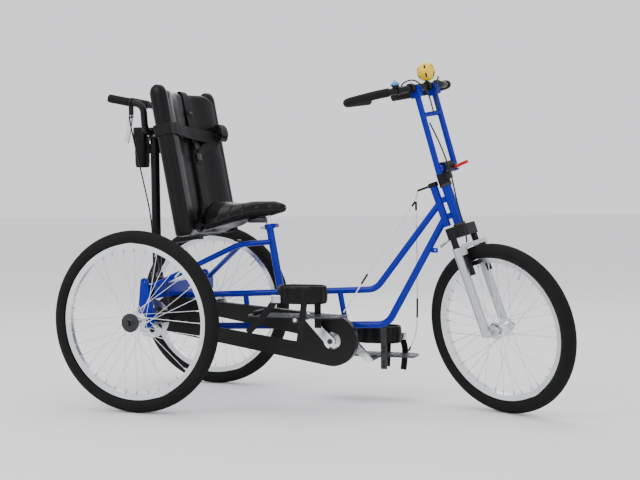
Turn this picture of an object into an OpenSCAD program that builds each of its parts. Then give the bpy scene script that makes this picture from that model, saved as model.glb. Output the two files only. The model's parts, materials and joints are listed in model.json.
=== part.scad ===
// Adult tricycle with a step-through tube frame, two driven rear wheels, a
// steered front wheel in a suspension fork, foot platforms and a high backrest.
// Lengths are millimetres. +X points forward, +Y to the rider's left, +Z up.
// The origin is on the ground, under the middle of the tricycle's outline.

/* [Wheels] */
// Outside diameter of a rear tyre
rear_tyre_d = 606; // [560:1:640]
// Outside diameter of the front tyre
front_tyre_d = 559; // [520:1:590]
// Width of a rear tyre
rear_tyre_w = 48; // [40:1:54]
// Width of the front tyre
front_tyre_w = 46; // [38:1:50]
// Distance between the middles of the two rear tyres
track = 620; // [580:1:760]
// Distance from the rear axle to the front axle, wheels straight
wheelbase = 1163; // [1150:1:1400]
// Width across a rim
rim_w = 26; // [22:1:30]
// Spokes in each wheel
spoke_count = 36; // [28:4:36]

/* [Steering] */
// Angle of the steering axis above the ground, degrees
head_angle = 71; // [68:0.5:74]
// Distance from the steering axis forward to the front axle
fork_offset = 19; // [10:1:40]
// How far the front wheel is turned to the right in the modelled pose, degrees
steer_rest = 27; // [0:1:35]
// Distance between the middles of the two fork legs
fork_leg_spacing = 106; // [100:1:120]
// Outside diameter of a fork stanchion
stanchion_d = 22.2; // [20:0.1:26]
// Outside diameter of a lower fork leg
fork_leg_d = 30; // [28:1:34]
// Travel of the suspension fork
fork_travel = 30; // [20:1:34]
// Length of the head tube
head_tube_len = 127; // [100:1:150]

/* [Frame tubes] */
// Outside diameter of the two long main tubes
main_tube_d = 22; // [20:1:28]
// Outside diameter of the seat tube and of the mast behind the head tube
mast_tube_d = 26; // [26:1:32]
// Outside diameter of the head tube
head_tube_d = 33; // [31:1:40]
// Outside diameter of the two rear stays
stay_d = 19; // [16:1:22]
// Wall of every frame tube
tube_wall = 1.6; // [1.2:0.1:2.5]
// Height of the seat tube's top
seat_tube_top_z = 617; // [560:1:680]

/* [Drive] */
// Crank arm length, spindle to pedal axle
crank_len = 115; // [90:1:127]
// Angle of the right crank above the backward direction, degrees
crank_rest = 45; // [0:1:90]
// Distance from the rear axle to the crank spindle
crank_x = 605; // [585:1:680]
// Height of the crank spindle
crank_z = 228; // [215:1:260]
// Teeth on the chainring
ring_teeth = 36; // [30:1:38]
// Teeth on the rear axle sprocket
sprocket_teeth = 18; // [14:1:22]
// Distance from the centre plane to the chain
chain_y = 50; // [46:1:60]

/* [Foot platforms] */
// Length of a foot platform
plate_len = 330; // [280:1:340]
// Width of a foot platform
plate_w = 96; // [80:1:110]
// Distance from the centre plane to a platform's inner edge
plate_in_y = 106; // [104:1:125]
// Length of the padded ankle cuff
cuff_len = 165; // [130:1:180]
// Height of the padded ankle cuff
cuff_h = 60; // [40:1:80]

/* [Seat and back] */
// Length of the saddle
saddle_len = 288; // [250:1:300]
// Width of the saddle
saddle_w = 250; // [180:1:260]
// Diameter of the seat post
seatpost_d = 22.2; // [22:0.1:22.6]
// Height of the backrest along its own slope
back_h = 520; // [400:1:560]
// Width across the backrest's side bolsters
back_w = 420; // [380:1:450]
// Depth of the side bolsters
bolster_depth = 60; // [40:1:80]
// Lean of the backrest from upright, degrees
back_lean = 10.5; // [5:0.5:15]

/* [Push handle] */
// Diameter of the upright push post
post_d = 32; // [28:1:38]
// Height of the push post's top
post_top_z = 925; // [850:1:1000]
// Height of the pouch behind the post
pouch_h = 141; // [100:1:150]
// Depth of the pouch, front to back
pouch_depth = 45; // [30:1:50]
// Distance between the two push grips
push_grip_spacing = 140; // [120:1:200]

/* [Handlebar] */
// Diameter of the handlebar tube
bar_d = 22.2; // [22.2:0.1:25.4]
// Outside diameter of the foam grips
grip_d = 28; // [26:1:32]
// Distance between the two riser tubes
riser_spacing = 88; // [80:1:110]
// Height from the stem clamp to the tops of the riser tubes
riser_h = 258; // [180:1:320]
// Diameter of a riser tube
riser_d = 20; // [18:1:24]

/* [Hidden] */
$fn = 64;

gap = 0.4;                     // clearance between pieces on different bodies
run = 0.05;                    // radial running clearance of a shaft in its bore
rear_r = rear_tyre_d / 2;
front_r = front_tyre_d / 2;
rear_rim_r = rear_r - 43;      // radius where tyre and rim meet
front_rim_r = front_r - 44;
rim_depth = 17;
axle_z = rear_r;
axle_d = 17;
hub_half = 25;                 // hub centre to the middle of a spoke flange
flange_r = 27;

// Steering geometry: the steered tyre touches the ground in the modelled pose.
tilt = sin(steer_rest) * cos(head_angle);
steered_centre_z = (front_r - front_tyre_w / 2) * sqrt(1 - tilt * tilt) + front_tyre_w / 2;
straight_centre_z = steered_centre_z + fork_offset * cos(head_angle) * (1 - cos(steer_rest));
steer_x = wheelbase - fork_offset * sin(head_angle);
steer_z = straight_centre_z - fork_offset * cos(head_angle);
nose = sin(steer_rest) * sin(head_angle);
front_reach = steer_x + fork_offset * cos(steer_rest) * sin(head_angle)
  + (front_r - front_tyre_w / 2) * sqrt(1 - nose * nose) + front_tyre_w / 2;
centre_x = (front_reach - rear_r) / 2;

// Heights along the steering axis, from the level of the front axle.
crown_low = front_r + fork_travel + 12;
crown_high = crown_low + 38;
head_low = crown_high + 8;
head_high = head_low + head_tube_len;
clamp_t = head_high + 58;
stem_reach = 27;
mast_back = 40;                // steering axis to the mast's axis
riser_lean = 4.5;
clamp_tube_d = 25.4;
bar_t = riser_h + bar_d / 2 + 3;

// Frame points in the centre plane, measured from the rear axle.
upper_rear = [35, 0, 365];
upper_corner = [740, 0, 397];
lower_rear = [40, 0, 254];
lower_corner = [780, 0, 280];
function steer_point(f, t) = [steer_x + f * sin(head_angle) - t * cos(head_angle), 0,
                              steer_z + f * cos(head_angle) + t * sin(head_angle)];
mast_low = steer_point(-mast_back, head_low + 2);
mast_high = steer_point(-mast_back, head_high + 24);
upper_front = steer_point(-mast_back, head_low + 82);
lower_front = steer_point(-mast_back, head_low + 29);
seat_low = [398, 0, 382];
seat_lean = 10;                // seat tube from upright
seat_high = seat_low + [-(seat_tube_top_z - 382) * tan(seat_lean), 0, seat_tube_top_z - 382];
seat_dir = unit(seat_high - seat_low);
stay_z = 556;
stay_join = seat_low + [-(stay_z - 382) * tan(seat_lean), 0, stay_z - 382];
cross_x = [-10, 32];           // cross member, back to front
cross_z = [372, 420];
upright_y = track / 2 - 75;    // middle of an upright bearing plate
upright_t = 10;
rotor_y = upright_y - 40;
diff_y = 36;                   // middle of a differential side plate
rotor_r = 66;

// Drive
pitch = 12.7;
ring_r = pitch / (2 * sin(180 / ring_teeth));
sprocket_r = pitch / (2 * sin(180 / sprocket_teeth));
spindle = [crank_x, 0, crank_z];
case_front_r = ring_r + 13;
case_rear_r = sprocket_r + 26;
case_y = chain_y + 17;         // outer face of the chain case
case_depth = 26;
case_wall = 2.5;
arm_y = case_y + 8;            // inner face of a crank arm
arm_t = 13;
pedal_dx = crank_len * cos(crank_rest);
pedal_dz = crank_len * sin(crank_rest);
plate_t = 5;
plate_rise = 12;               // platform top above the pedal axle

// Seat and back
back_foot = [96, 0, 578];      // lower rear edge of the backrest
post_x = -81;
handle_z = post_top_z + 20;

// ---------------------------------------------------------------- helpers
function unit(v) = v / norm(v);
function turn(a, p, b) = 180 - acos(unit(a - p) * unit(b - p));
function radius_at(r, i) = is_list(r) ? r[i - 1] : r;
function tangent_len(pts, r, i) = (i == 0 || i == len(pts) - 1) ? 0
  : radius_at(r, i) * tan(turn(pts[i - 1], pts[i], pts[i + 1]) / 2);
function longer(pts, e) = [for (i = [0 : len(pts) - 1])
  i == 0 ? pts[0] + unit(pts[0] - pts[1]) * e
  : i == len(pts) - 1 ? pts[i] + unit(pts[i] - pts[i - 1]) * e : pts[i]];

// Turns +Z onto the direction from a to b, with the origin at a.
module along(a, b) {
  v = b - a;
  translate(a) rotate([0, acos(v.z / norm(v)), atan2(v.y, v.x)]) children();
}
module rod(a, b, d) along(a, b) cylinder(d = d, h = norm(b - a));

// Quarter or part turn of a round bar, tangent to p-a and p-b.
module elbow(a, p, b, r, d) {
  bend = turn(a, p, b);
  c = p + unit(unit(a - p) + unit(b - p)) * r / cos(bend / 2);
  x1 = unit(p + unit(a - p) * r * tan(bend / 2) - c);
  z1 = unit(cross(x1, p + unit(b - p) * r * tan(bend / 2) - c));
  y1 = cross(z1, x1);
  multmatrix([[x1.x, y1.x, z1.x, c.x], [x1.y, y1.y, z1.y, c.y], [x1.z, y1.z, z1.z, c.z], [0, 0, 0, 1]])
    rotate_extrude(angle = bend) translate([r, 0]) circle(d = d);
}

// Round bar through the points, with a bend of radius r at each inner point.
module bar(pts, r, d) {
  last = len(pts) - 1;
  for (i = [0 : last - 1]) {
    way = unit(pts[i + 1] - pts[i]);
    rod(pts[i] + way * tangent_len(pts, r, i), pts[i + 1] - way * tangent_len(pts, r, i + 1), d);
  }
  if (last > 1)
    for (i = [1 : last - 1]) elbow(pts[i - 1], pts[i], pts[i + 1], radius_at(r, i), d);
}
module bent_tube(pts, r, d, wall) difference() {
  bar(pts, r, d);
  bar(longer(pts, 1), r, d - 2 * wall);
}

// Flat outline around two circles, with straight tangents.
module belt(c1, r1, c2, r2) {
  base = atan2(c2.y - c1.y, c2.x - c1.x);
  a = acos((r1 - r2) / norm(c2 - c1));
  translate(c1) circle(r = r1);
  translate(c2) circle(r = r2);
  polygon([c1 + r1 * [cos(base + a), sin(base + a)], c2 + r2 * [cos(base + a), sin(base + a)],
           c2 + r2 * [cos(base - a), sin(base - a)], c1 + r1 * [cos(base - a), sin(base - a)]]);
}
// Stands a flat X-Z outline up, from y0 towards the rider's right.
module upright(y0, t) translate([0, y0, 0]) rotate([90, 0, 0]) linear_extrude(t) children();
module disc_y(y0, y1, d) translate([0, y0, 0]) rotate([-90, 0, 0]) cylinder(d = d, h = y1 - y0);

// Cord of d millimetres swept along a smooth curve through the points.
function curve_point(p, i, s) = let (
    a = p[max(i - 1, 0)], b = p[i], c = p[i + 1], e = p[min(i + 2, len(p) - 1)])
  0.5 * ((2 * b) + (c - a) * s + (2 * a - 5 * b + 4 * c - e) * s * s + (3 * b - a - 3 * c + e) * s * s * s);
function curve(p, n) = concat(
  [for (i = [0 : len(p) - 2]) for (k = [0 : n - 1]) curve_point(p, i, k / n)], [p[len(p) - 1]]);
function carried(t, n, i) = i >= len(t) ? n
  : carried(t, concat(n, [unit(n[i - 1] - t[i] * (n[i - 1] * t[i]))]), i + 1);
// Round bar of d millimetres through every point of the list p.
module sweep(p, d, sides) {
  m = len(p);
  t = [for (i = [0 : m - 1]) unit(p[min(i + 1, m - 1)] - p[max(i - 1, 0)])];
  first = unit(cross(t[0], abs(t[0].y) < 0.9 ? [0, 1, 0] : [1, 0, 0]));
  nn = carried(t, [first], 1);
  ring = [for (i = [0 : m - 1]) for (k = [0 : sides - 1])
    p[i] + d / 2 * (cos(360 * k / sides) * nn[i] + sin(360 * k / sides) * cross(t[i], nn[i]))];
  polyhedron(ring, concat(
    [[for (k = [0 : sides - 1]) k]],
    [for (i = [0 : m - 2]) for (k = [0 : sides - 1]) let (j = (k + 1) % sides)
      [(i + 1) * sides + k, (i + 1) * sides + j, i * sides + j, i * sides + k]],
    [[for (k = [0 : sides - 1]) (m - 1) * sides + sides - 1 - k]]));
}
module cord(points, d, n = 4, sides = 8) sweep(curve(points, n), d, sides);

// Points along straight lines whose inner corners are rounded with radius r.
function corner(a, p, b, r) = let (
    bend = turn(a, p, b), u = unit(a - p), w = unit(b - p),
    c = p + unit(u + w) * r / cos(bend / 2), x1 = unit(p + u * r * tan(bend / 2) - c),
    y1 = -u, steps = max(2, ceil(bend / 9)))
  [for (k = [0 : steps]) c + r * (x1 * cos(bend * k / steps) + y1 * sin(bend * k / steps))];
function rounded(pts, r) = concat([pts[0]],
  [for (i = [1 : len(pts) - 2]) each corner(pts[i - 1], pts[i], pts[i + 1], radius_at(r, i))],
  [pts[len(pts) - 1]]);

module part() translate([-centre_x, 0, 0]) children();
// Steering frame: +Z up the steering axis, +X forward, level of the front axle.
module steered() translate([steer_x, 0, steer_z]) rotate([0, head_angle - 90, 0])
  rotate([0, 0, -steer_rest]) children();
module on_axis() translate([steer_x, 0, steer_z]) rotate([0, head_angle - 90, 0]) children();
module at_riser() steered() translate([stem_reach, 0, clamp_t]) rotate([0, riser_lean, 0]) children();
module at_bar() at_riser() translate([0, 0, bar_t]) rotate([0, riser_lean, 0]) children();
module at_back() translate(back_foot) rotate([0, -back_lean, 0]) children();
module side(s) scale([1, s, 1]) children();

// ---------------------------------------------------------- frame tubes
lower_d = main_tube_d + 2;
module upper_line(d) bar([upper_rear - [18, 0, 1], upper_corner, upper_front], 60, d);
module lower_line(d) bar([lower_rear, lower_corner, lower_front], 58, d);
module seat_line(d) rod(seat_low, seat_high, d);
module mast_line(d) rod(mast_low, mast_high, d);
module stay_line(s, d)
  bar([stay_join + [12, s * 11, 2], [245, s * 12, 546], [12, s * (upright_y - 13), 410]], 60, d);
module cross_box(inset = 0) translate([cross_x[0] + inset, -(upright_y - upright_t / 2), cross_z[0] + inset])
  cube([cross_x[1] - cross_x[0] - 2 * inset, track - 150 - upright_t, cross_z[1] - cross_z[0] - 2 * inset]);

module upper_tube() color("royalblue") part() difference() {
  sweep(rounded([upper_rear - [18, 0, 1], upper_corner, upper_front], 60), main_tube_d, 32);
  sweep(rounded(longer([upper_rear - [18, 0, 1], upper_corner, upper_front], 1), 60),
    main_tube_d - 2 * tube_wall, 32);
  cross_box();
  mast_line(mast_tube_d);
}
module lower_tube() color("royalblue") part() difference() {
  union() {
    sweep(rounded([lower_rear, lower_corner, lower_front], 58), lower_d, 32);
    // tab for the steering spring
    translate([932, -3, 521]) cube([22, 6, 16]);
  }
  sweep(rounded(longer([lower_rear, lower_corner, lower_front], 1), 58), lower_d - 2 * tube_wall, 32);
  mast_line(mast_tube_d);
  translate([946, 4, 529]) rotate([90, 0, 0]) cylinder(d = 5, h = 8);
}
module head_tube() color("royalblue") part() {
  on_axis() {
    difference() {
      union() {
        translate([0, 0, head_low]) cylinder(d = head_tube_d, h = head_tube_len);
        for (t = [head_low + 22, head_low + 78])
          translate([-mast_back, -4, t]) cube([mast_back - 6, 8, 20]);
      }
      translate([0, 0, head_low - 1]) cylinder(d = head_tube_d - 2 * tube_wall, h = head_tube_len + 2);
      translate([-mast_back, 0, head_low - 1]) cylinder(d = mast_tube_d - 2 * tube_wall, h = head_tube_len + 2);
    }
  }
  difference() {
    mast_line(mast_tube_d);
    rod(mast_low - unit(mast_high - mast_low), mast_high + unit(mast_high - mast_low), mast_tube_d - 2 * tube_wall);
  }
}
module seat_tube() color("royalblue") part() {
  difference() {
    union() {
      seat_line(mast_tube_d);
      // collar with two clamp ears
      at_collar() {
        cylinder(d = mast_tube_d + 8, h = 18);
        translate([-27, -9, 2]) cube([16, 18, 14]);
      }
    }
    rod(seat_low - seat_dir * 3, seat_high + seat_dir * 3, seatpost_d + 2 * run);
    upper_line(main_tube_d);
    at_collar() translate([-29, -1.2, -1]) cube([18, 2.4, 20]);
  }
  // clamp bolt across the ears, ending just short of the lever's cam
  at_collar() translate([-21, 0, 9]) disc_y(-18.6, 12, 4.8);
}
module frame_struts() color("royalblue") part() difference() {
  union() {
    rod([612, 0, 392], [633, 0, 276], 19);
    rod([264, 0, 376], [276, 0, 262], 19);
    // crank bearing shell on two hanger plates
    translate(spindle) disc_y(-34, 34, 40);
    for (y = [-16, 10]) translate([crank_x - 22, y, crank_z + 10]) cube([44, 6, 40]);
  }
  upper_line(main_tube_d);
  lower_line(lower_d);
  translate(spindle) disc_y(-35, 35, 34);
}
module rear_stays() color("royalblue") part() difference() {
  for (s = [-1, 1]) sweep(rounded([stay_join + [0, s * 11, 0], [245, s * 12, 546],
    [12, s * (upright_y - 13), 410]], 60), stay_d, 24);
  seat_line(mast_tube_d);
  cross_box();
  upright_plates();
}
module upright_plates() for (s = [-1, 1]) upright(s * upright_y + upright_t / 2, upright_t) hull() {
  translate([-5, 430]) circle(r = 13);
  translate([0, axle_z]) circle(r = 31);
}
module axle_carrier() color("royalblue") part() difference() {
  union() {
    difference() {
      cross_box();
      translate([0, -1, 0]) scale([1, 1.1, 1]) cross_box(2.5);
    }
    upright_plates();
    // bearing housings around the axle
    for (s = [-1, 1]) translate([0, 0, axle_z]) disc_y(s * upright_y - 13, s * upright_y + 13, 48);
    // side plates of the differential, joined below to the lower tube
    for (s = [-1, 1]) upright(s * diff_y + 3, 6) hull() {
      translate([0, axle_z]) circle(r = 30);
      translate([cross_x[0] + 4, cross_z[0] - 2]) square([34, 2]);
      translate([20, 240]) square([22, 26]);
    }
    translate([22, -diff_y, 241]) cube([18, 2 * diff_y, 24]);
  }
  for (s = [-1, 1]) {
    translate([0, 0, axle_z]) disc_y(s * upright_y - 14, s * upright_y + 14, axle_d + 2 * run);
    translate([0, 0, axle_z]) disc_y(s * diff_y - 4, s * diff_y + 4, 36 + 2 * run);
    translate([-5, 0, 429]) disc_y(s * upright_y - 14, s * upright_y + 14, 6.6);
    // upper tube passes between and under the cross member
  }
  lower_line(lower_d);
}
module bearing_cups() color("#1a1a1a") part() {
  on_axis() difference() {
    union() {
      translate([0, 0, crown_high + gap]) cylinder(d = 41, h = head_low - crown_high - gap);
      translate([0, 0, head_high]) cylinder(d = 41, h = 8);
      for (t = [head_low, head_high - 12]) translate([0, 0, t]) cylinder(d = head_tube_d - 2 * tube_wall, h = 12);
    }
    translate([0, 0, crown_high - 1]) cylinder(d = 28.6 + 2 * run, h = head_tube_len + 40);
  }
  difference() {
    for (s = [-1, 1]) side(s) translate(spindle) {
      disc_y(22, 34, 34);
      disc_y(34, 37, 40);
    }
    translate(spindle) disc_y(-40, 40, axle_d + 2 * run);
  }
}

// ------------------------------------------------------------- chain drive
module case_outline(grow) belt([crank_x, crank_z], case_front_r + grow, [0, axle_z], case_rear_r + grow);
module chain_case() color("#101010") part() difference() {
  union() {
    difference() {
      upright(-case_y + case_depth, case_depth) case_outline(0);
      upright(-case_y + case_depth + 1, case_depth + 1 - case_wall) case_outline(-case_wall);
      // window in the outer plate
      upright(-case_y + 5, 10) hull() {
        translate([150, 296]) circle(r = 9);
        translate([150, 276]) circle(r = 9);
        translate([474, 236]) circle(r = 13);
      }
      translate(spindle) disc_y(-case_y - 5, -case_y + 5, 60);
      translate([0, 0, axle_z]) disc_y(-case_y - 5, -case_y + 5, 44);
    }
    // inner lugs to the crank bearing and to the differential plate
    upright(-37, 4) difference() {
      union() {
        translate([crank_x, crank_z]) circle(r = 25);
        translate([crank_x - 14, crank_z]) square([28, case_front_r - 2]);
      }
      translate([crank_x, crank_z]) circle(r = 20.2);
    }
    upright(-diff_y - 3, case_y - diff_y - 3 - 20) translate([-9, axle_z + case_rear_r - 10]) square([18, 9]);
  }
}
module chain() color("#4a4a4a") part() difference() {
  upright(-chain_y + 3.5, 7) belt([crank_x, crank_z], ring_r + 4.2, [0, axle_z], sprocket_r + 4.2);
  upright(-chain_y + 4.5, 9) belt([crank_x, crank_z], ring_r - 4.2, [0, axle_z], sprocket_r - 4.2);
  upright(-chain_y + 1.6, 3.2) belt([crank_x, crank_z], ring_r + 2.6, [0, axle_z], sprocket_r + 2.6);
}
module toothed(r, teeth, t) linear_extrude(t, center = true)
  polygon([for (k = [0 : teeth - 1]) for (q = [[-3.4, -0.36], [1.7, -0.12], [1.7, 0.12], [-3.4, 0.36]])
    (r + q[0]) * [cos(360 * (k + q[1]) / teeth), sin(360 * (k + q[1]) / teeth)]]);
module chainring() color("silver") part() translate(spindle + [0, -chain_y, 0]) rotate([90, 0, 0]) difference() {
  toothed(ring_r, ring_teeth, 2.2);
  cylinder(r = 15, h = 9, center = true);
  // five windows between the spider arms
  for (k = [0 : 4]) rotate(72 * k) linear_extrude(9, center = true)
    polygon([[24, -9], [ring_r - 17, -27], [ring_r - 15, 0], [ring_r - 17, 27], [24, 9]]);
}
module crank(s) translate(spindle) side(s) difference() {
  union() {
    translate([0, 0, 0]) disc_y(41, arm_y + 1, 30);
    upright(arm_y + arm_t, arm_t) rotate(0) hull() {
      circle(r = 17);
      translate(s < 0 ? [-pedal_dx, pedal_dz] : [pedal_dx, -pedal_dz]) circle(r = 12);
    }
    translate(s < 0 ? [-pedal_dx, 0, pedal_dz] : [pedal_dx, 0, -pedal_dz])
      disc_y(arm_y + arm_t - 1, plate_in_y + plate_w - 4, 12);
  }
  if (s > 0) disc_y(40, arm_y + 6, axle_d);
}
module crank_right() color("silver") part() {
  crank(-1);
  translate(spindle) disc_y(-42, arm_y + 6, axle_d);
}
module crank_left() color("silver") part() crank(1);
module at_pedal(s) translate(spindle + (s < 0 ? [-pedal_dx, 0, pedal_dz] : [pedal_dx, 0, -pedal_dz]))
  side(s) children();
module foot_plate(s) at_pedal(s) difference() {
  union() {
    translate([0, 0, plate_rise - plate_t]) linear_extrude(plate_t) hull() {
      translate([-plate_len * 0.53 + 22, plate_in_y + 22]) circle(r = 22);
      translate([-plate_len * 0.53 + 30, plate_in_y + plate_w - 30]) circle(r = 30);
      translate([plate_len * 0.47 - 14, plate_in_y + 14]) circle(r = 14);
      translate([plate_len * 0.47 - 34, plate_in_y + plate_w - 34]) circle(r = 34);
    }
    // bearing sleeve around the pedal axle
    disc_y(arm_y + arm_t + 2, plate_in_y + plate_w - 4, 22);
    // slotted ankle bracket
    translate([36, plate_in_y, -35]) cube([22, 4, 142]);
  }
  for (z = [-26, -12, 26, 40]) translate([47, plate_in_y - 1, z]) disc_y(0, 6, 7);
  disc_y(arm_y + arm_t, plate_in_y + plate_w, 12 + 2 * run);
}
module foot_plate_right() color("#b9bcc0") part() foot_plate(-1);
module foot_plate_left() color("#b9bcc0") part() foot_plate(1);
module ankle_cuff(s) at_pedal(s) translate([-70, plate_in_y + 4, 51]) difference() {
  linear_extrude(cuff_h) hull() for (x = [47, cuff_len - 47]) translate([x, 47]) circle(r = 47);
  translate([0, 0, -1]) linear_extrude(cuff_h + 2)
    hull() for (x = [47, cuff_len - 47]) translate([x, 47]) circle(r = 36);
}
module ankle_cuff_right() color("#161616") part() ankle_cuff(-1);
module ankle_cuff_left() color("#161616") part() ankle_cuff(1);
module differential() color("#3b3d40") part() translate([0, 0, axle_z]) difference() {
  union() {
    disc_y(-31, 31, 58);
    disc_y(-6, 4, 66);
    disc_y(-chain_y - 3, -30, 36);
    disc_y(30, 44, 36);
    translate([0, -chain_y, 0]) rotate([90, 0, 0]) toothed(sprocket_r, sprocket_teeth, 2.2);
  }
  disc_y(-60, 60, axle_d + 2 * run);
}

// ------------------------------------------------------------------ wheels
module tyre(r, w, rim) rotate([90, 0, 0]) rotate_extrude($fn = 96) difference() {
  union() {
    intersection() {
      translate([r - w / 2, 0]) circle(d = w, $fn = 48);
      translate([rim, -w]) square([3 * w, 2 * w]);
    }
    translate([rim - 5, -rim_w / 2 + 2.5]) square([9, rim_w - 5]);
  }
  translate([r - w / 2, 0]) circle(d = w - 7, $fn = 48);
  translate([rim - 6, -rim_w / 2 + 5.5]) square([14, rim_w - 11]);
}
module rim(r) rotate([90, 0, 0]) rotate_extrude($fn = 96) difference() {
  polygon([[r, -rim_w / 2], [r, rim_w / 2], [r - rim_depth, rim_w / 2 - 4], [r - rim_depth, 4 - rim_w / 2]]);
  translate([r - 6, -rim_w / 2 + 2.5]) square([12, rim_w - 5]);
}
// Crossed spokes between the hub flanges and the inside of the rim.
module spokes(r) for (k = [0 : spoke_count - 1]) {
  s = k % 2 == 0 ? 1 : -1;
  lean = (floor(k / 2) % 2 == 0 ? 1 : -1) * 62;
  a = 360 * k / spoke_count;
  foot = [23 * cos(a + lean), s * (hub_half + 3.4), 23 * sin(a + lean)];
  tip = (r - rim_depth - 0.2) * [cos(a), 0, sin(a)] + [0, s * 3, 0];
  rod(foot, tip, 2, $fn = 16);
  translate([foot.x, 0, foot.z]) disc_y(min(s * (hub_half + 1.5), s * (hub_half + 4.2)),
    max(s * (hub_half + 1.5), s * (hub_half + 4.2)), 2.2, $fn = 16);
}
module hub_shell() {
  disc_y(-hub_half, hub_half, 38);
  for (s = [-1, 1]) disc_y(s * hub_half - 1.5, s * hub_half + 1.5, 2 * flange_r);
}
module at_rear(s) translate([0, 0, axle_z]) side(s) translate([0, track / 2, 0]) children();
module rear_hub(s) at_rear(s) {
  hub_shell();
  disc_y(-hub_half - 8, hub_half + 8, 30);
  disc_y(hub_half + 8, hub_half + 14, 62);
  disc_y(hub_half + 14, 52, 24);
  rotate([90, 0, 0]) translate([0, 0, -60]) cylinder(d = 19, h = 9, $fn = 6);
  disc_y(3 - track / 2, 57, axle_d);
  // brake rotor on its carrier
  difference() {
    disc_y(rotor_y - 1 - track / 2, rotor_y + 1 - track / 2, 2 * rotor_r);
    for (k = [0 : 7]) rotate([0, 45 * k, 0]) translate([40, 0, 0])
      disc_y(rotor_y - 3 - track / 2, rotor_y + 3 - track / 2, 20);
  }
  disc_y(rotor_y - 6 - track / 2, rotor_y + 6 - track / 2, 40);
}
module right_tyre() color("#141414") part() at_rear(-1) tyre(rear_r, rear_tyre_w, rear_rim_r);
module right_rim() color("silver") part() at_rear(-1) rim(rear_rim_r);
module right_spokes() color("silver") part() at_rear(-1) spokes(rear_rim_r);
module right_hub() color("silver") part() rear_hub(-1);
module left_tyre() color("#141414") part() at_rear(1) tyre(rear_r, rear_tyre_w, rear_rim_r);
module left_rim() color("silver") part() at_rear(1) rim(rear_rim_r);
module left_spokes() color("silver") part() at_rear(1) spokes(rear_rim_r);
module left_hub() color("silver") part() rear_hub(1);
module at_front() steered() translate([fork_offset, 0, 0]) children();
module front_tyre() color("#141414") part() at_front() tyre(front_r, front_tyre_w, front_rim_r);
module front_rim() color("silver") part() at_front() rim(front_rim_r);
module front_spokes() color("silver") part() at_front() spokes(front_rim_r);
module front_hub() color("silver") part() at_front() difference() {
  union() {
    hub_shell();
    disc_y(-39.5, 39.5, 22);
  }
  disc_y(-45, 45, 10 + 2 * run);
}
module caliper(s) translate([0, s * rotor_y, axle_z]) rotate([0, -8, 0]) difference() {
  translate([44, -15, -20]) cube([40, 30, 40]);
  translate([40, -1.5, -30]) cube([30, 3, 60]);
}
module brake_calipers() color("#202020") part() for (s = [-1, 1]) {
  caliper(s);
  // arm back to the upright plate
  translate([66, min(s * (rotor_y + 14), s * (upright_y - upright_t / 2)), axle_z - 8])
    cube([14, upright_y - upright_t / 2 - rotor_y - 14, 20]);
  translate([24, s > 0 ? upright_y - upright_t / 2 - 4 : -upright_y + upright_t / 2, axle_z - 8]) cube([56, 4, 20]);
}

// ---------------------------------------------------------- fork and steering
leg_y = fork_leg_spacing / 2;
module fork_crown() color("#26282b") part() steered() {
  translate([0, 0, crown_low]) linear_extrude(crown_high - crown_low) {
    hull() {
      circle(r = 24);
      for (s = [-1, 1]) translate([0, s * leg_y]) circle(r = 16);
    }
  }
  translate([0, 0, crown_high - 1]) cylinder(d = 28.6, h = clamp_t - 20 - crown_high);
  for (s = [-1, 1]) translate([0, s * leg_y, 150]) cylinder(d = stanchion_d, h = crown_low - 149);
  // spring anchor knob behind the crown
  translate([-38, 0, crown_low + 10]) rotate([0, 90, 0]) cylinder(d = 8, h = 20);
  translate([-44, 0, crown_low + 10]) rotate([0, 90, 0]) cylinder(d = 22, h = 8);
}
module fork_lowers() color("#9a9da0") part() steered() difference() {
  union() {
    for (s = [-1, 1]) side(s) {
      translate([0, leg_y, -8]) cylinder(d = fork_leg_d, h = crown_low - fork_travel - 2 + 8);
      translate([-10, 40, -14]) cube([44, 8, 34]);
      translate([0, leg_y - 2, 262]) cube([37, 10, 26]);
      translate([3, leg_y - 13, 193]) cube([14, 13, 14]);
    }
    translate([28.8, -leg_y - 8, 283.5]) cube([8.5, 2 * leg_y + 16, 13]);
    translate([fork_offset, 0, 0]) disc_y(-leg_y - 6, leg_y + 6, 10);
    translate([fork_offset, 0, 0]) for (s = [-1, 1]) side(s) disc_y(48, 55, 20);
  }
  for (s = [-1, 1]) translate([0, s * leg_y, 110]) cylinder(d = stanchion_d + 2 * run, h = 260);
  for (s = [-1, 1]) translate([0, s * (leg_y - 6), 200]) rotate([0, 90, 0]) cylinder(d = 6 + 2 * run, h = 30);
}
module v_brake(s) steered() side(s) {
  translate([11.6, leg_y - 6, 200]) rotate([0, 90, 0]) cylinder(d = 6, h = 18.4);
  translate([17.6, leg_y - 16, 192]) cube([10.4, 14, 92]);
  translate([19, rim_w / 2 + 11, 227]) rotate([-90, 0, 0]) cylinder(d = 8, h = 16);
  translate([fork_offset - 25, rim_w / 2 + 2, 220.5]) cube([50, 10, 12]);
}
module v_brake_right() color("#2a2a2a") part() v_brake(-1);
module v_brake_left() color("#2a2a2a") part() v_brake(1);
module stem() color("#151515") part() steered() difference() {
  union() {
    translate([0, 0, head_high + 8 + gap]) cylinder(d = 40, h = clamp_t - head_high - 20);
    translate([0, -16, head_high + 20]) cube([stem_reach, 32, clamp_t - head_high - 12]);
    translate([stem_reach, 0, clamp_t]) disc_y(-24, 24, 38);
  }
  translate([0, 0, head_high]) cylinder(d = 28.6, h = clamp_t - 20 - head_high);
  translate([stem_reach, 0, clamp_t]) disc_y(-40, 40, clamp_tube_d + 2 * run);
}
module riser_lever() color("#c22020") part() steered() {
  translate([stem_reach + 25, 0, clamp_t - 8]) disc_y(17, 30, 12);
  translate([stem_reach + 23, 26, clamp_t - 12]) cube([44, 6, 10]);
}
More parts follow.
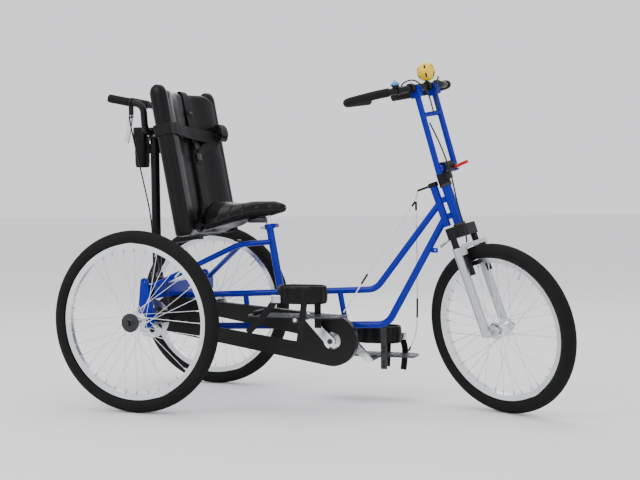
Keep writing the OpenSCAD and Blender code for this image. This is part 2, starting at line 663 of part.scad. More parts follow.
module front_brake_cable() color("#8c8f92") part() steered()
  cord([[46, -30, clamp_t + 150], [62, -34, clamp_t + 60], [64, -36, clamp_t - 30], [52, -36, head_high - 60],
        [44, -34, head_low], [34, -30, 312], [23, -24, 300]], 5);
module riser() color("royalblue") part() at_riser() difference() {
  union() {
    disc_y(-riser_spacing / 2, riser_spacing / 2, clamp_tube_d);
    for (s = [-1, 1]) translate([0, s * riser_spacing / 2, 0]) {
      translate([0, 0, -18]) cylinder(d = riser_d, h = riser_h + 18);
      translate([0, -11, riser_h - 18]) translate([-17, 0, 0]) cube([34, 22, 36]);
    }
    translate([0, 0, 180]) disc_y(-riser_spacing / 2, riser_spacing / 2, 16);
  }
  translate([0, 0, bar_t]) disc_y(-90, 90, bar_d);
}
bar_points = [[-195, -67, 0], [-165, -222, 0], [-45, -180, 0], [0, -90, 0],
              [0, 90, 0], [-45, 180, 0], [-165, 222, 0], [-195, 67, 0]];
side_points = [[0, 66.5, 0], [0, 90, 0], [-45, 180, 0], [-165, 222, 0], [-195, 67, 0]];
module handlebar() color("#111111") part() at_bar() difference() {
  union() {
    disc_y(-65.5, 65.5, bar_d);
    for (s = [-1, 1]) side(s) {
      disc_y(59, 74, 32);
      sweep(rounded(side_points, [60, 60, 38]), bar_d, 24);
      translate([-40, 61, -7]) cube([30, 9, 14]);
      translate([-43, 61, -7]) cube([12, 39, 14]);
    }
  }
  for (s = [-1, 1]) side(s) {
    translate([-60, 83, -4.4]) cube([46, 24, 8.8]);
    translate([-32, 92, -10]) cylinder(d = 5 + 2 * run, h = 20);
  }
}
grip_points = [[-27, 144, 0], [-45, 180, 0], [-165, 222, 0], [-195, 67, 0]];
module bar_grips() color("#0d0d0d") part() at_bar() for (s = [-1, 1]) side(s) difference() {
  sweep(rounded(grip_points, [60, 38]), grip_d, 24);
  sweep(rounded(longer(grip_points, 1), [60, 38]), bar_d + 0.1, 24);
}
module bar_lever(s) at_bar() side(s) {
  translate([-32, 92, -4]) cylinder(d = 14, h = 8);
  translate([-32, 92, -7]) cylinder(d = 5, h = 14);
  sweep(rounded([[-34, 95, 0], [-62, 120, 0], [-80, 150, 0]], 30), 7, 16);
}
module bar_lever_right() color("#2a2a2a") part() bar_lever(-1);
module bar_lever_left() color("#2a2a2a") part() bar_lever(1);
module bell_and_horn() color("gold") part() at_bar() difference() {
  union() {
    disc_y(10, 24, 30);
    rod([0, 17, 12], [0, 24, 30], 12);
    translate([0, 26, 47]) sphere(d = 62);
    translate([-16, -118, 8]) cylinder(d = 22, h = 10);
    translate([-16, -118, 18]) intersection() {
      sphere(r = 15);
      cylinder(r = 20, h = 20);
    }
  }
  disc_y(-64, 64, bar_d);
  sweep(rounded([[0, -66, 0], [0, -90, 0], [-45, -180, 0]], 60), bar_d + 0.1, 24);
}
module return_spring() color("#b8babd") part() cord([[996, 22, 568], [979, 13, 554], [965, 4, 542], [957, 0, 532]], 7);

// ----------------------------------------------------------- seat and back
module seatpost() color("silver") part() {
  rod(seat_low + seat_dir * 71, seat_high + seat_dir * 26, seatpost_d);
  along(seat_high + seat_dir * 25, seat_high + seat_dir * 50) cylinder(d = 30, h = 10);
}
module saddle() color("#121212") part() difference() {
  union() {
    // broad rear of the cushion
    hull() for (s = [-1, 1]) {
      translate([178, s * (saddle_w / 2 - 50), 612]) cylinder(r = 40, h = 4, $fn = 32);
      translate([188, s * (saddle_w / 2 - 50), 640]) cylinder(r = 50, h = 34, $fn = 32);
      translate([190, s * (saddle_w / 2 - 52), 690]) cylinder(r = 36, h = 9, $fn = 32);
      translate([285, s * 12, 640]) cylinder(r = 34, h = 55, $fn = 32);
    }
    // nose
    hull() {
      translate([285, 0, 640]) cylinder(r = 44, h = 54, $fn = 32);
      translate([112 + saddle_len, 0, 656]) cylinder(r = 17, h = 27, $fn = 32);
    }
    translate([330, 0, 643]) rotate([0, -10, 0]) cylinder(d = 44, h = 12);
  }
  along(seat_high + seat_dir * 24, seat_high + seat_dir * 50) cylinder(d = 31, h = 11.6);
}
module at_collar() along(seat_high, seat_high + (seat_high - seat_low)) translate([0, 0, -18]) children();
module seat_lever() color("#e8e8e8") part() at_collar() {
  translate([-21, -24, 3]) cylinder(d = 10, h = 12);
  translate([-21, -28, 6]) cube([66, 5, 9]);
}
module backrest_shell() color("#181818") part() at_back() translate([0, -back_w / 2 + 46, 0])
  cube([8, back_w - 92, back_h - 26]);
module backrest_pad() color("#141414") part() at_back() {
  translate([8, -back_w / 2 + 45.5, 2]) cube([22, back_w - 91, back_h - 18]);
  for (s = [-1, 1]) translate([0, s * (back_w / 2 - 22), 0]) linear_extrude(back_h)
    offset(r = 12) offset(delta = -12) translate([0, -22]) square([bolster_depth, 44]);
}
module backrest_bracket() color("#1a1a1a") part() difference() {
  union() {
    upright(15, 30) polygon([[-66, 540], [32, 556], [188, 581], [228, 560], [246, 554], [246, 561],
                             [232, 567], [190, 588], [32, 562], [-66, 546]]);
    at_back() translate([-5, -15, -14]) cube([5, 30, 74]);
    // upper arm from the push post to the back shell
    translate([post_x, 0, 872]) cylinder(d = post_d + 9, h = 34);
    translate([post_x + 14, -5, 874]) cube([112, 10, 30]);
    at_back() translate([-5, -45, 285]) cube([5, 90, 70]);
  }
  translate([post_x, 0, 500]) cylinder(d = post_d, h = 500);
  at_back() translate([0, -90, -40]) cube([200, 180, 500]);
  for (s = [-1, 1]) stay_line(s, stay_d);
}
module harness() color("#101010") part() at_back() {
  // chest strap around the right bolster, shoulder strap and rolled strap
  for (s = [-1, 1]) translate([0, s * (back_w / 2 - 22), 345]) difference() {
    translate([-3, -25, 0]) cube([bolster_depth + 6, 50, 40]);
    translate([-0.05, s > 0 ? -30 : -22.05, -1]) cube([bolster_depth + 0.1, 52.05, 42]);
  }
  translate([30.4, -60, 40]) cube([3, 40, 440]);
  translate([30.4, 20, 40]) cube([3, 40, 440]);
}

// ------------------------------------------------------------- push handle
module push_post() color("#161616") part() difference() {
  union() {
    translate([post_x, 0, 385]) cylinder(d = post_d, h = post_top_z - 385);
    translate([post_x, -20, 387]) cube([cross_x[0] - post_x, 40, 22]);
    translate([post_x, 0, 385]) cylinder(d = post_d + 10, h = 60);
  }
  translate([post_x, 0, 384]) cylinder(d = post_d - 6, h = post_top_z);
}
grip_y = push_grip_spacing / 2;
grip_end = [-215, 1067];
grip_bend = [-87, 1040];
function on_grip(x) = grip_end.y + (x - grip_end.x) * (grip_bend.y - grip_end.y) / (grip_bend.x - grip_end.x);
module push_handle() color("#161616") part() {
  sweep(rounded([[grip_end.x, -grip_y, grip_end.y], [grip_bend.x, -grip_y, grip_bend.y],
    [post_x, -grip_y, handle_z], [post_x, grip_y, handle_z],
    [grip_bend.x, grip_y, grip_bend.y], [grip_end.x, grip_y, grip_end.y]], [35, 30, 30, 35]), 24, 24);
  translate([post_x - 22, -24, post_top_z]) cube([44, 48, 38]);
  // perch of the parking brake, with the ears of its lever
  difference() {
    union() {
      translate([-129, -grip_y, on_grip(-129)]) rotate([0, -78, 0]) cylinder(d = 32, h = 10);
      translate([-141, -grip_y - 7, 996]) cube([12, 14, 44]);
    }
    translate([-160, -grip_y - 4, 990]) cube([40, 8, 24]);
    translate([-135, -grip_y, 1003]) disc_y(-10, 10, 5 + 2 * run);
  }
}
module push_grips() color("#0d0d0d") part() for (s = [-1, 1]) difference() {
  rod([-143, s * grip_y, on_grip(-143)], [-219, s * grip_y, on_grip(-219)], 29);
  rod([-133, s * grip_y, on_grip(-133)], [-215, s * grip_y, on_grip(-215)], 24.2);
}
module park_lever() color("silver") part() translate([-135, -grip_y, 1003]) {
  disc_y(-7, 7, 5);
  disc_y(-3.5, 3.5, 13);
  rotate([0, 12.5, 0]) translate([-8, -2.5, -97]) cube([16, 5, 97]);
}
module pouch() color("#101010") part() translate([post_x - post_d / 2 - pouch_depth - 7, -36, 822]) cube([pouch_depth, 52, pouch_h]);
module rear_brake_cable() color("#101010") part()
  cord([[-136, -84, 1000], [-132, -70, 940], [-112, -46, 800], [-92, -26, 660], [-80, -24, 540],
        [-50, -44, 470], [-24, -110, 440], [14, -138, 440], [43, -158, 421], [53, -180, 388], [66, -195, 345]], 5);
module mast_hook() color("#151515") part() {
  on_axis() difference() {
    union() {
      translate([-mast_back, 0, head_high + 12]) cylinder(d = mast_tube_d + 7, h = 14);
      translate([-mast_back - 56, -4, head_high + 15]) cube([48, 8, 7]);
    }
    translate([-mast_back, 0, head_high - 10]) cylinder(d = mast_tube_d, h = 34);
  }
  // snap link that the toe cords hang from
  rod([888, 0, 724], [880, 0, 693.5], 5);
}
module toe_cords() color("#e6e6e0") part() {
  cord([[880, -5, 690], [812, -50, 575], [742, -98, 455], [692, -136, 362], [670, -150, 327]], 4);
  cord([[880, 5, 690], [872, 40, 480], [850, 110, 260], [810, 150, 172]], 4);
}

upper_tube();
lower_tube();
head_tube();
seat_tube();
frame_struts();
rear_stays();
axle_carrier();
bearing_cups();
chain_case();
chain();
brake_calipers();
rear_brake_cable();
return_spring();
toe_cords();
mast_hook();
push_post();
push_handle();
push_grips();
park_lever();
pouch();
backrest_shell();
backrest_pad();
backrest_bracket();
harness();
seatpost();
saddle();
seat_lever();
right_tyre();
right_rim();
right_spokes();
right_hub();
left_tyre();
left_rim();
left_spokes();
left_hub();
differential();
crank_right();
crank_left();
chainring();
foot_plate_right();
ankle_cuff_right();
foot_plate_left();
ankle_cuff_left();
fork_crown();
stem();
riser_lever();
front_brake_cable();
fork_lowers();
v_brake_right();
v_brake_left();
front_tyre();
front_rim();
front_spokes();
front_hub();
riser();
handlebar();
bar_grips();
bar_lever_right();
bar_lever_left();
bell_and_horn();
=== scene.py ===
# %% [markdown]
# # Adult tricycle
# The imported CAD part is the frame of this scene. Hard parts keep their CAD
# shape and get procedural materials. Tyres, padding, straps, cables and the
# chain are built here as finer pieces that ride on the CAD bodies.

# %%
import json
import math
import random

import bmesh
import bpy
import numpy as np
from mathutils import Matrix, Vector


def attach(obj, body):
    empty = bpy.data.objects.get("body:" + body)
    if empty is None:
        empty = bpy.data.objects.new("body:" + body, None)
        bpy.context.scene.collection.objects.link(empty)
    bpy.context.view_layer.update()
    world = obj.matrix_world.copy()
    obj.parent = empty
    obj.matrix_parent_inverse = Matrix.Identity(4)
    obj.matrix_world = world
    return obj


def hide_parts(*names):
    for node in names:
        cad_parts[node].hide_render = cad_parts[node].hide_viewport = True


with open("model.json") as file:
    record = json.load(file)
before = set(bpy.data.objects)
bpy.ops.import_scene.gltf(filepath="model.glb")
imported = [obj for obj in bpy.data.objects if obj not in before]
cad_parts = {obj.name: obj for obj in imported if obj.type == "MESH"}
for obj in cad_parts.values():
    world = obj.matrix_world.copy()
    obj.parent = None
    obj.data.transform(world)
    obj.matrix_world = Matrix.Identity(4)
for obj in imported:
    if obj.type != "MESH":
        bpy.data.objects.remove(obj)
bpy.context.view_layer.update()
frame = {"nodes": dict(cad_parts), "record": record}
NODES = frame["nodes"]
random.seed(7)

# %% [markdown]
# ## Frames of reference
# Sizes below are millimetres from the point under the rear axle. `row` turns
# them into the part's own frame in metres. The steering, riser and bar frames
# repeat the angles of the CAD part.

# %%
REAR_R, FRONT_R = 303.0, 279.5
TRACK, WHEELBASE = 620.0, 1163.0
HEAD, OFFSET, STEER = math.radians(71), 19.0, math.radians(27)
FRONT_TUBE = 46.0

tilt = math.sin(STEER) * math.cos(HEAD)
steered_z = (FRONT_R - FRONT_TUBE / 2) * math.sqrt(1 - tilt ** 2) + FRONT_TUBE / 2
straight_z = steered_z + OFFSET * math.cos(HEAD) * (1 - math.cos(STEER))
STEER_X = WHEELBASE - OFFSET * math.sin(HEAD)
STEER_Z = straight_z - OFFSET * math.cos(HEAD)
nose = math.sin(STEER) * math.sin(HEAD)
reach = (STEER_X + OFFSET * math.cos(STEER) * math.sin(HEAD)
         + (FRONT_R - FRONT_TUBE / 2) * math.sqrt(1 - nose ** 2) + FRONT_TUBE / 2)
CENTRE_X = (reach - REAR_R) / 2


def turn(axis, degrees):
    return Matrix.Rotation(math.radians(degrees), 4, axis)


def move(x, y, z):
    return Matrix.Translation((x, y, z))


ROW = Matrix.Scale(0.001, 4) @ move(-CENTRE_X, 0, 0)
STEERED = ROW @ move(STEER_X, 0, STEER_Z) @ turn("Y", -19) @ turn("Z", -27)
CROWN_LOW = FRONT_R + 42
HEAD_LOW = CROWN_LOW + 46
HEAD_HIGH = HEAD_LOW + 127
CLAMP_T = HEAD_HIGH + 58
RISER = STEERED @ move(27, 0, CLAMP_T) @ turn("Y", 4.5)
BAR = RISER @ move(0, 0, 272.1) @ turn("Y", 4.5)
BACK = ROW @ move(96, 0, 578) @ turn("Y", -10.5)
CRANK = (605.0, 228.0)
PEDAL = 115 * math.cos(math.radians(45))
PEDAL_R = ROW @ move(CRANK[0] - PEDAL, 0, CRANK[1] + PEDAL) @ Matrix.Diagonal((1, -1, 1, 1))
PEDAL_L = ROW @ move(CRANK[0] + PEDAL, 0, CRANK[1] - PEDAL)

# %% [markdown]
# ## Materials
# Every colour comes from node groups that are shared: one for fine speckle,
# one for wear, one for woven or pebbled relief. They use object coordinates,
# so they hold still when the part moves.

# %%


def group_grain():
    """Speckle: scale in, a value near 1 and a bump normal out."""
    g = bpy.data.node_groups.new("grain", "ShaderNodeTree")
    for name, kind, value in (("Scale", "NodeSocketFloat", 400.0), ("Depth", "NodeSocketFloat", 0.1)):
        s = g.interface.new_socket(name, in_out="INPUT", socket_type=kind)
        s.default_value = value
    g.interface.new_socket("Value", in_out="OUTPUT", socket_type="NodeSocketFloat")
    g.interface.new_socket("Normal", in_out="OUTPUT", socket_type="NodeSocketVector")
    n, l = g.nodes, g.links
    i, o = n.new("NodeGroupInput"), n.new("NodeGroupOutput")
    c, t, b = n.new("ShaderNodeTexCoord"), n.new("ShaderNodeTexNoise"), n.new("ShaderNodeBump")
    t.inputs["Detail"].default_value = 4
    b.inputs["Distance"].default_value = 0.0006
    l.new(c.outputs["Object"], t.inputs["Vector"])
    l.new(i.outputs["Scale"], t.inputs["Scale"])
    l.new(i.outputs["Depth"], b.inputs["Strength"])
    l.new(t.outputs["Fac"], b.inputs["Height"])
    l.new(t.outputs["Fac"], o.inputs["Value"])
    l.new(b.outputs["Normal"], o.inputs["Normal"])
    return g


def group_wear():
    """Large soft patches of handling wear, from 0 to 1."""
    g = bpy.data.node_groups.new("wear", "ShaderNodeTree")
    s = g.interface.new_socket("Scale", in_out="INPUT", socket_type="NodeSocketFloat")
    s.default_value = 9
    g.interface.new_socket("Value", in_out="OUTPUT", socket_type="NodeSocketFloat")
    n, l = g.nodes, g.links
    i, o = n.new("NodeGroupInput"), n.new("NodeGroupOutput")
    c, t, r = n.new("ShaderNodeTexCoord"), n.new("ShaderNodeTexNoise"), n.new("ShaderNodeMapRange")
    t.inputs["Detail"].default_value = 6
    r.inputs["From Min"].default_value = 0.35
    r.inputs["From Max"].default_value = 0.75
    l.new(c.outputs["Object"], t.inputs["Vector"])
    l.new(i.outputs["Scale"], t.inputs["Scale"])
    l.new(t.outputs["Fac"], r.inputs["Value"])
    l.new(r.outputs["Result"], o.inputs["Value"])
    return g


def group_weave():
    """Crossed ribs of webbing or moulded ribs, as a normal."""
    g = bpy.data.node_groups.new("weave", "ShaderNodeTree")
    for name, value in (("Scale", 900.0), ("Depth", 0.5)):
        s = g.interface.new_socket(name, in_out="INPUT", socket_type="NodeSocketFloat")
        s.default_value = value
    g.interface.new_socket("Value", in_out="OUTPUT", socket_type="NodeSocketFloat")
    g.interface.new_socket("Normal", in_out="OUTPUT", socket_type="NodeSocketVector")
    n, l = g.nodes, g.links
    i, o = n.new("NodeGroupInput"), n.new("NodeGroupOutput")
    c, b = n.new("ShaderNodeTexCoord"), n.new("ShaderNodeBump")
    one, two, m = n.new("ShaderNodeTexWave"), n.new("ShaderNodeTexWave"), n.new("ShaderNodeMath")
    one.bands_direction, two.bands_direction = "Z", "DIAGONAL"
    m.operation = "MULTIPLY"
    b.inputs["Distance"].default_value = 0.0005
    for w in (one, two):
        l.new(c.outputs["Object"], w.inputs["Vector"])
        l.new(i.outputs["Scale"], w.inputs["Scale"])
    l.new(one.outputs["Fac"], m.inputs[0])
    l.new(two.outputs["Fac"], m.inputs[1])
    l.new(m.outputs[0], b.inputs["Height"])
    l.new(i.outputs["Depth"], b.inputs["Strength"])
    l.new(m.outputs[0], o.inputs["Value"])
    l.new(b.outputs["Normal"], o.inputs["Normal"])
    return g


GRAIN, WEAR, WEAVE = group_grain(), group_wear(), group_weave()


def material(name, colour, dark=None, rough=(0.3, 0.45), metal=0.0, coat=0.0, grain=400, depth=0.1, weave=None,
             sheen=0.0, wear=9, shine=0.5):
    """Principled surface whose colour and roughness vary between two ends."""
    m = bpy.data.materials.new(name)
    m.use_nodes = True
    n, l = m.node_tree.nodes, m.node_tree.links
    p = n["Principled BSDF"]
    g, w = n.new("ShaderNodeGroup"), n.new("ShaderNodeGroup")
    g.node_tree, w.node_tree = (WEAVE if weave else GRAIN), WEAR
    g.inputs["Scale"].default_value = weave or grain
    g.inputs["Depth"].default_value = depth
    w.inputs["Scale"].default_value = wear
    mix, mul = n.new("ShaderNodeMix"), n.new("ShaderNodeMapRange")
    mix.data_type = "RGBA"
    dark = dark or [c * 0.82 for c in colour]
    mix.inputs["A"].default_value = (*colour, 1)
    mix.inputs["B"].default_value = (*dark, 1)
    mul.inputs["To Min"].default_value, mul.inputs["To Max"].default_value = rough
    l.new(w.outputs["Value"], mix.inputs["Factor"])
    l.new(mix.outputs["Result"], p.inputs["Base Color"])
    l.new(w.outputs["Value"], mul.inputs["Value"])
    l.new(mul.outputs["Result"], p.inputs["Roughness"])
    l.new(g.outputs["Normal"], p.inputs["Normal"])
    p.inputs["Metallic"].default_value = metal
    p.inputs["Coat Weight"].default_value = coat
    p.inputs["Coat Roughness"].default_value = 0.06
    p.inputs["Sheen Weight"].default_value = sheen
    p.inputs["Specular IOR Level"].default_value = shine
    return m


MAT = {
    "frame_paint": material("royal blue enamel", (0.0005, 0.008, 0.30), (0.0004, 0.007, 0.26), (0.16, 0.24),
                            coat=0.08, grain=900, depth=0.02, shine=0.16),
    "black_paint": material("satin black enamel", (0.005, 0.005, 0.006), rough=(0.34, 0.46),
                            grain=900, depth=0.05, shine=0.2),
    "steel": material("zinc plate", (0.62, 0.62, 0.64), rough=(0.22, 0.36), metal=1.0, grain=1500, depth=0.04),
    "alloy": material("polished alloy", (0.78, 0.79, 0.80), (0.66, 0.67, 0.69), (0.2, 0.34), metal=1.0,
                      grain=1200, depth=0.03),
    "fork_alloy": material("silver lacquer", (0.52, 0.53, 0.55), (0.47, 0.48, 0.50), (0.32, 0.42), metal=0.75,
                           coat=0.3, grain=1500, depth=0.03),
    "dark_steel": material("dark steel", (0.04, 0.041, 0.044), (0.07, 0.066, 0.06), (0.32, 0.5), metal=0.9,
                           grain=900, depth=0.08),
    "chain_steel": material("oiled steel", (0.30, 0.28, 0.26), (0.12, 0.11, 0.10), (0.3, 0.5), metal=1.0,
                            grain=1200, depth=0.06),
    "tyre_rubber": material("tyre rubber", (0.004, 0.004, 0.004), (0.009, 0.009, 0.0085), (0.62, 0.8),
                            grain=1600, depth=0.25, shine=0.15),
    "foam": material("grip foam", (0.006, 0.006, 0.006), (0.010, 0.010, 0.010), (0.75, 0.9), grain=2600,
                     depth=0.5, shine=0.2),
    "black_plastic": material("black plastic", (0.006, 0.006, 0.006), rough=(0.32, 0.45), grain=2200, depth=0.08,
                              shine=0.2),
    "dark_plastic": material("dark grey plastic", (0.035, 0.036, 0.038), (0.028, 0.029, 0.031), (0.38, 0.52),
                             grain=1800, depth=0.12, shine=0.3),
    "vinyl": material("black vinyl", (0.004, 0.004, 0.0045), (0.007, 0.007, 0.007), (0.30, 0.40), grain=1300,
                      depth=0.06, shine=0.15),
    "webbing": material("black webbing", (0.007, 0.007, 0.0075), rough=(0.6, 0.75), weave=620, depth=0.6,
                        shine=0.2),
    "white_cord": material("white elastic", (0.80, 0.79, 0.74), (0.68, 0.66, 0.60), (0.6, 0.75), weave=900,
                           depth=0.6),
    "yellow_plastic": material("yellow rubber", (0.84, 0.56, 0.004), (0.78, 0.50, 0.004), (0.3, 0.42), coat=0.15,
                               grain=900, depth=0.05),
    "red_plastic": material("red plastic", (0.52, 0.012, 0.012), rough=(0.25, 0.35), coat=0.3, grain=900,
                            depth=0.05),
    "white_plastic": material("white plastic", (0.78, 0.78, 0.77), rough=(0.3, 0.4), grain=900, depth=0.05),
    "cable_cover": material("cable cover", (0.006, 0.006, 0.0065), rough=(0.3, 0.4), grain=900, depth=0.05,
                            shine=0.35),
    "bell_paint": material("light blue enamel", (0.05, 0.22, 0.55), (0.04, 0.19, 0.50), (0.2, 0.3), coat=0.3,
                           grain=900, depth=0.03),
    "piping": material("seam piping", (0.006, 0.006, 0.0065), rough=(0.34, 0.44), grain=1500, depth=0.1,
                       shine=0.3),
}

# %% [markdown]
# ## Mesh helpers
# Each helper takes a matrix that places millimetres in the row frame, so an
# object always sits at the origin and its place is in its vertices.

# %%


def make(name, verts, faces, mat, place=ROW, smooth=True, body=None):
    name = name.replace(" ", "_")
    me = bpy.data.meshes.new(name)
    me.from_pydata([tuple(place @ Vector(v)) for v in verts], [], faces)
    me.validate()
    me.materials.append(MAT[mat])
    b = bmesh.new()
    b.from_mesh(me)
    bmesh.ops.remove_doubles(b, verts=b.verts, dist=1e-7)
    bmesh.ops.recalc_face_normals(b, faces=b.faces)
    b.to_mesh(me)
    b.free()
    me.polygons.foreach_set("use_smooth", [smooth] * len(me.polygons))
    o = bpy.data.objects.new(name, me)
    bpy.context.scene.collection.objects.link(o)
    if smooth:
        me.set_sharp_from_angle(angle=math.radians(38))
    if body:
        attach(o, body)
    return o


def join_lists(parts):
    """Joins (verts, faces) pairs into one."""
    verts, faces = [], []
    for v, f in parts:
        k = len(verts)
        verts += [tuple(p) for p in v]
        faces += [[i + k for i in q] for q in f]
    return verts, faces


def spline(points, n=8):
    """Smooth curve through the points."""
    p = [np.array(q, float) for q in points]
    out = []
    for i in range(len(p) - 1):
        a, b, c, d = p[max(i - 1, 0)], p[i], p[i + 1], p[min(i + 2, len(p) - 1)]
        for k in range(n):
            s = k / n
            out.append(0.5 * (2 * b + (c - a) * s + (2 * a - 5 * b + 4 * c - d) * s ** 2
                              + (3 * b - a - 3 * c + d) * s ** 3))
    return out + [p[-1]]


def rounded(points, radii, step=6):
    """Straight lines with rounded inner corners."""
    p = [np.array(q, float) for q in points]
    out = [p[0]]
    for i in range(1, len(p) - 1):
        u, w = p[i - 1] - p[i], p[i + 1] - p[i]
        u, w = u / np.linalg.norm(u), w / np.linalg.norm(w)
        bend = math.pi - math.acos(max(-1, min(1, float(u @ w))))
        r = radii[i - 1] if isinstance(radii, (list, tuple)) else radii
        h = u + w
        c = p[i] + h / np.linalg.norm(h) * r / math.cos(bend / 2)
        x = p[i] + u * r * math.tan(bend / 2) - c
        x, y = x / np.linalg.norm(x), -u
        n = max(2, math.ceil(math.degrees(bend) / step))
        out += [c + r * (x * math.cos(bend * k / n) + y * math.sin(bend * k / n)) for k in range(n + 1)]
    return out + [p[-1]]


def frames(path, closed=False, up=None):
    """Tangent, normal and binormal along a path."""
    m = len(path)
    t = []
    for i in range(m):
        a = path[(i - 1) % m] if closed else path[max(i - 1, 0)]
        b = path[(i + 1) % m] if closed else path[min(i + 1, m - 1)]
        t.append((b - a) / np.linalg.norm(b - a))
    if up is not None:
        ns = []
        for q in t:
            v = np.array(up, float) - q * (np.array(up, float) @ q)
            ns.append(v / np.linalg.norm(v))
    else:
        ref = np.array([0, 1.0, 0]) if abs(t[0][1]) < 0.9 else np.array([1.0, 0, 0])
        v = np.cross(t[0], ref)
        ns = [v / np.linalg.norm(v)]
        for q in t[1:]:
            v = ns[-1] - q * (ns[-1] @ q)
            ns.append(v / np.linalg.norm(v))
    return [(t[i], ns[i], np.cross(t[i], ns[i])) for i in range(m)]


def swept(path, section, closed=False, up=None, scale=None):
    """Section, a list of (normal, binormal) offsets, carried along a path."""
    path = [np.array(q, float) for q in path]
    fr, k = frames(path, closed, up), len(section)
    verts = []
    for i, (q, (t, a, b)) in enumerate(zip(path, fr)):
        s = scale(i / (len(path) - 1)) if scale else 1
        verts += [q + s * (a * u + b * v) for u, v in section]
    faces = []
    for i in range(len(path) if closed else len(path) - 1):
        j = (i + 1) % len(path)
        faces += [[i * k + c, i * k + (c + 1) % k, j * k + (c + 1) % k, j * k + c] for c in range(k)]
    if not closed:
        faces += [list(range(k))[::-1], list(range((len(path) - 1) * k, len(path) * k))]
    return verts, faces


def circle(r, n=16, squash=1.0):
    return [(r * math.cos(2 * math.pi * i / n), squash * r * math.sin(2 * math.pi * i / n)) for i in range(n)]


def flat(width, thick, edge=0.45):
    """Section of a strap: rounded rectangle, width along the binormal."""
    e, w, t = min(edge * thick, thick / 2), width / 2, thick / 2
    return [(-t, -w + e), (-t, w - e), (-t + e, w), (t - e, w),
            (t, w - e), (t, -w + e), (t - e, -w), (-t + e, -w)]


def block(lo, hi, bevel=1.5, segments=2):
    """Box with rounded edges."""
    b = bmesh.new()
    bmesh.ops.create_cube(b, size=1)
    size, mid = [hi[i] - lo[i] for i in range(3)], [(hi[i] + lo[i]) / 2 for i in range(3)]
    for v in b.verts:
        v.co = Vector([mid[i] + v.co[i] * size[i] for i in range(3)])
    if bevel:
        bmesh.ops.bevel(b, geom=b.edges[:], offset=bevel, segments=segments, affect="EDGES", profile=0.5)
    verts, faces = [tuple(v.co) for v in b.verts], [[v.index for v in f.verts] for f in b.faces]
    b.free()
    return verts, faces


def rod(a, b, r, n=16):
    return swept([a, b], circle(r, n))


def length(path):
    return float(sum(np.linalg.norm(np.array(path[i + 1]) - np.array(path[i])) for i in range(len(path) - 1)))


# %% [markdown]
# ## CAD nodes
# A node keeps its shape and takes the material of its slot. Faces that are a
# second material, such as a rotor or a lever's end, are chosen by where they lie.

# %%
record = frame["record"]
for part in record["subparts"]:
    o = NODES[part["node"]]
    name = part["material_slot"]
    if part["node"] == "fork_lowers":
        name = "fork_alloy"
    o.data.materials.clear()
    o.data.materials.append(MAT[name])


def second(node, mat, test):
    """Gives the faces whose centre, in millimetres, passes the test another material."""
    o = NODES[node]
    o.data.materials.append(MAT[mat])
    k = len(o.data.materials) - 1
    back = ROW.inverted()
    for p in o.data.polygons:
        if test(back @ (o.matrix_world @ p.center)):
            p.material_index = k


for side in ("right", "left"):
    second(side + "_hub", "dark_steel", lambda c: 342 < abs(c.y) < 352 or abs(c.y) > 361)
    second(side + "_hub", "steel", lambda c: abs(c.y) < 204)
second("seat_lever", "white_plastic", lambda c: c.x < 372)
second("seat_tube", "black_plastic", lambda c: c.z > 598 and c.x < 350)
second("head_tube", "black_plastic", lambda c: c.z > 726 and c.x < 985)
second("chain_case", "dark_steel", lambda c: c.y > -40)
second("mast_hook", "steel", lambda c: c.z < 722 and c.x < 905)

# %% [markdown]
# ## Tyres
# One high-resolution skin for each tyre: the tread is cut into the skin as real
# relief, so it also shows on the silhouette.

# %%


def tyre(name, node, radius, width, rim, place, body):
    n, k = 420, 44
    half = width / 2
    centre = radius - half
    low = math.asin(max(-1, (rim + 2 - centre) / half))
    verts, faces = [], []
    for i in range(n):
        a = 2 * math.pi * i / n
        for c in range(k + 1):
            b = low + (math.pi - 2 * low) * c / k
            y, h = math.cos(b), math.sin(b)
            cut = 0.0
            side = abs(y)
            if h > 0.55:
                # shoulder and centre blocks with slanted grooves
                slant = 3 * side
                phase = (i / 7 + slant + (0.5 if y > 0 else 0)) % 1
                cut = 1.9 if phase < 0.24 else 0.0
                if side < 0.10 or 0.40 < side < 0.48:
                    cut = 1.7
                cut -= 0.5
            elif h > 0.30:
                cut = 0.6 if (i % 4) < 1 else 0.0
            elif 0.10 < h < 0.16:
                cut = -0.5
            r = half - max(cut, -0.5)
            verts.append(((centre + r * h) * math.cos(a), r * y, (centre + r * h) * math.sin(a)))
    for i in range(n):
        j = (i + 1) % n
        for c in range(k):
            faces.append([i * (k + 1) + c, i * (k + 1) + c + 1, j * (k + 1) + c + 1, j * (k + 1) + c])
    o = make(name, verts, faces, "tyre_rubber", place, True)
    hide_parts(node)
    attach(o, body)
    return o


WHEELS = {
    "right": (ROW @ move(0, -TRACK / 2, REAR_R), REAR_R, 48.0, REAR_R - 43, -1),
    "left": (ROW @ move(0, TRACK / 2, REAR_R), REAR_R, 48.0, REAR_R - 43, 1),
    "front": (STEERED @ move(OFFSET, 0, 0), FRONT_R, 46.0, FRONT_R - 44, 1),
}
for side, (place, radius, width, rim, _) in WHEELS.items():
    tyre(side + " tyre tread", side + "_tyre", radius, width, rim, place, side + "_wheel")
    # nipples where each spoke meets the rim, and the valve
    parts = []
    for k in range(36):
        a, s = 2 * math.pi * k / 36, (1 if k % 2 == 0 else -1)
        c, q = math.cos(a), math.sin(a)
        r1, r0 = rim - 17.2, rim - 29
        parts.append(rod((r0 * c, s * 4.4, r0 * q), (r1 * c, s * 3, r1 * q), 2.0, 8))
    a = 2 * math.pi * 4.5 / 36
    parts.append(rod(((rim - 48) * math.cos(a), 0, (rim - 48) * math.sin(a)),
                     ((rim - 16) * math.cos(a), 0, (rim - 16) * math.sin(a)), 3.4, 12))
    make(side + " nipples and valve", *join_lists(parts), "steel", place, body=side + "_wheel")

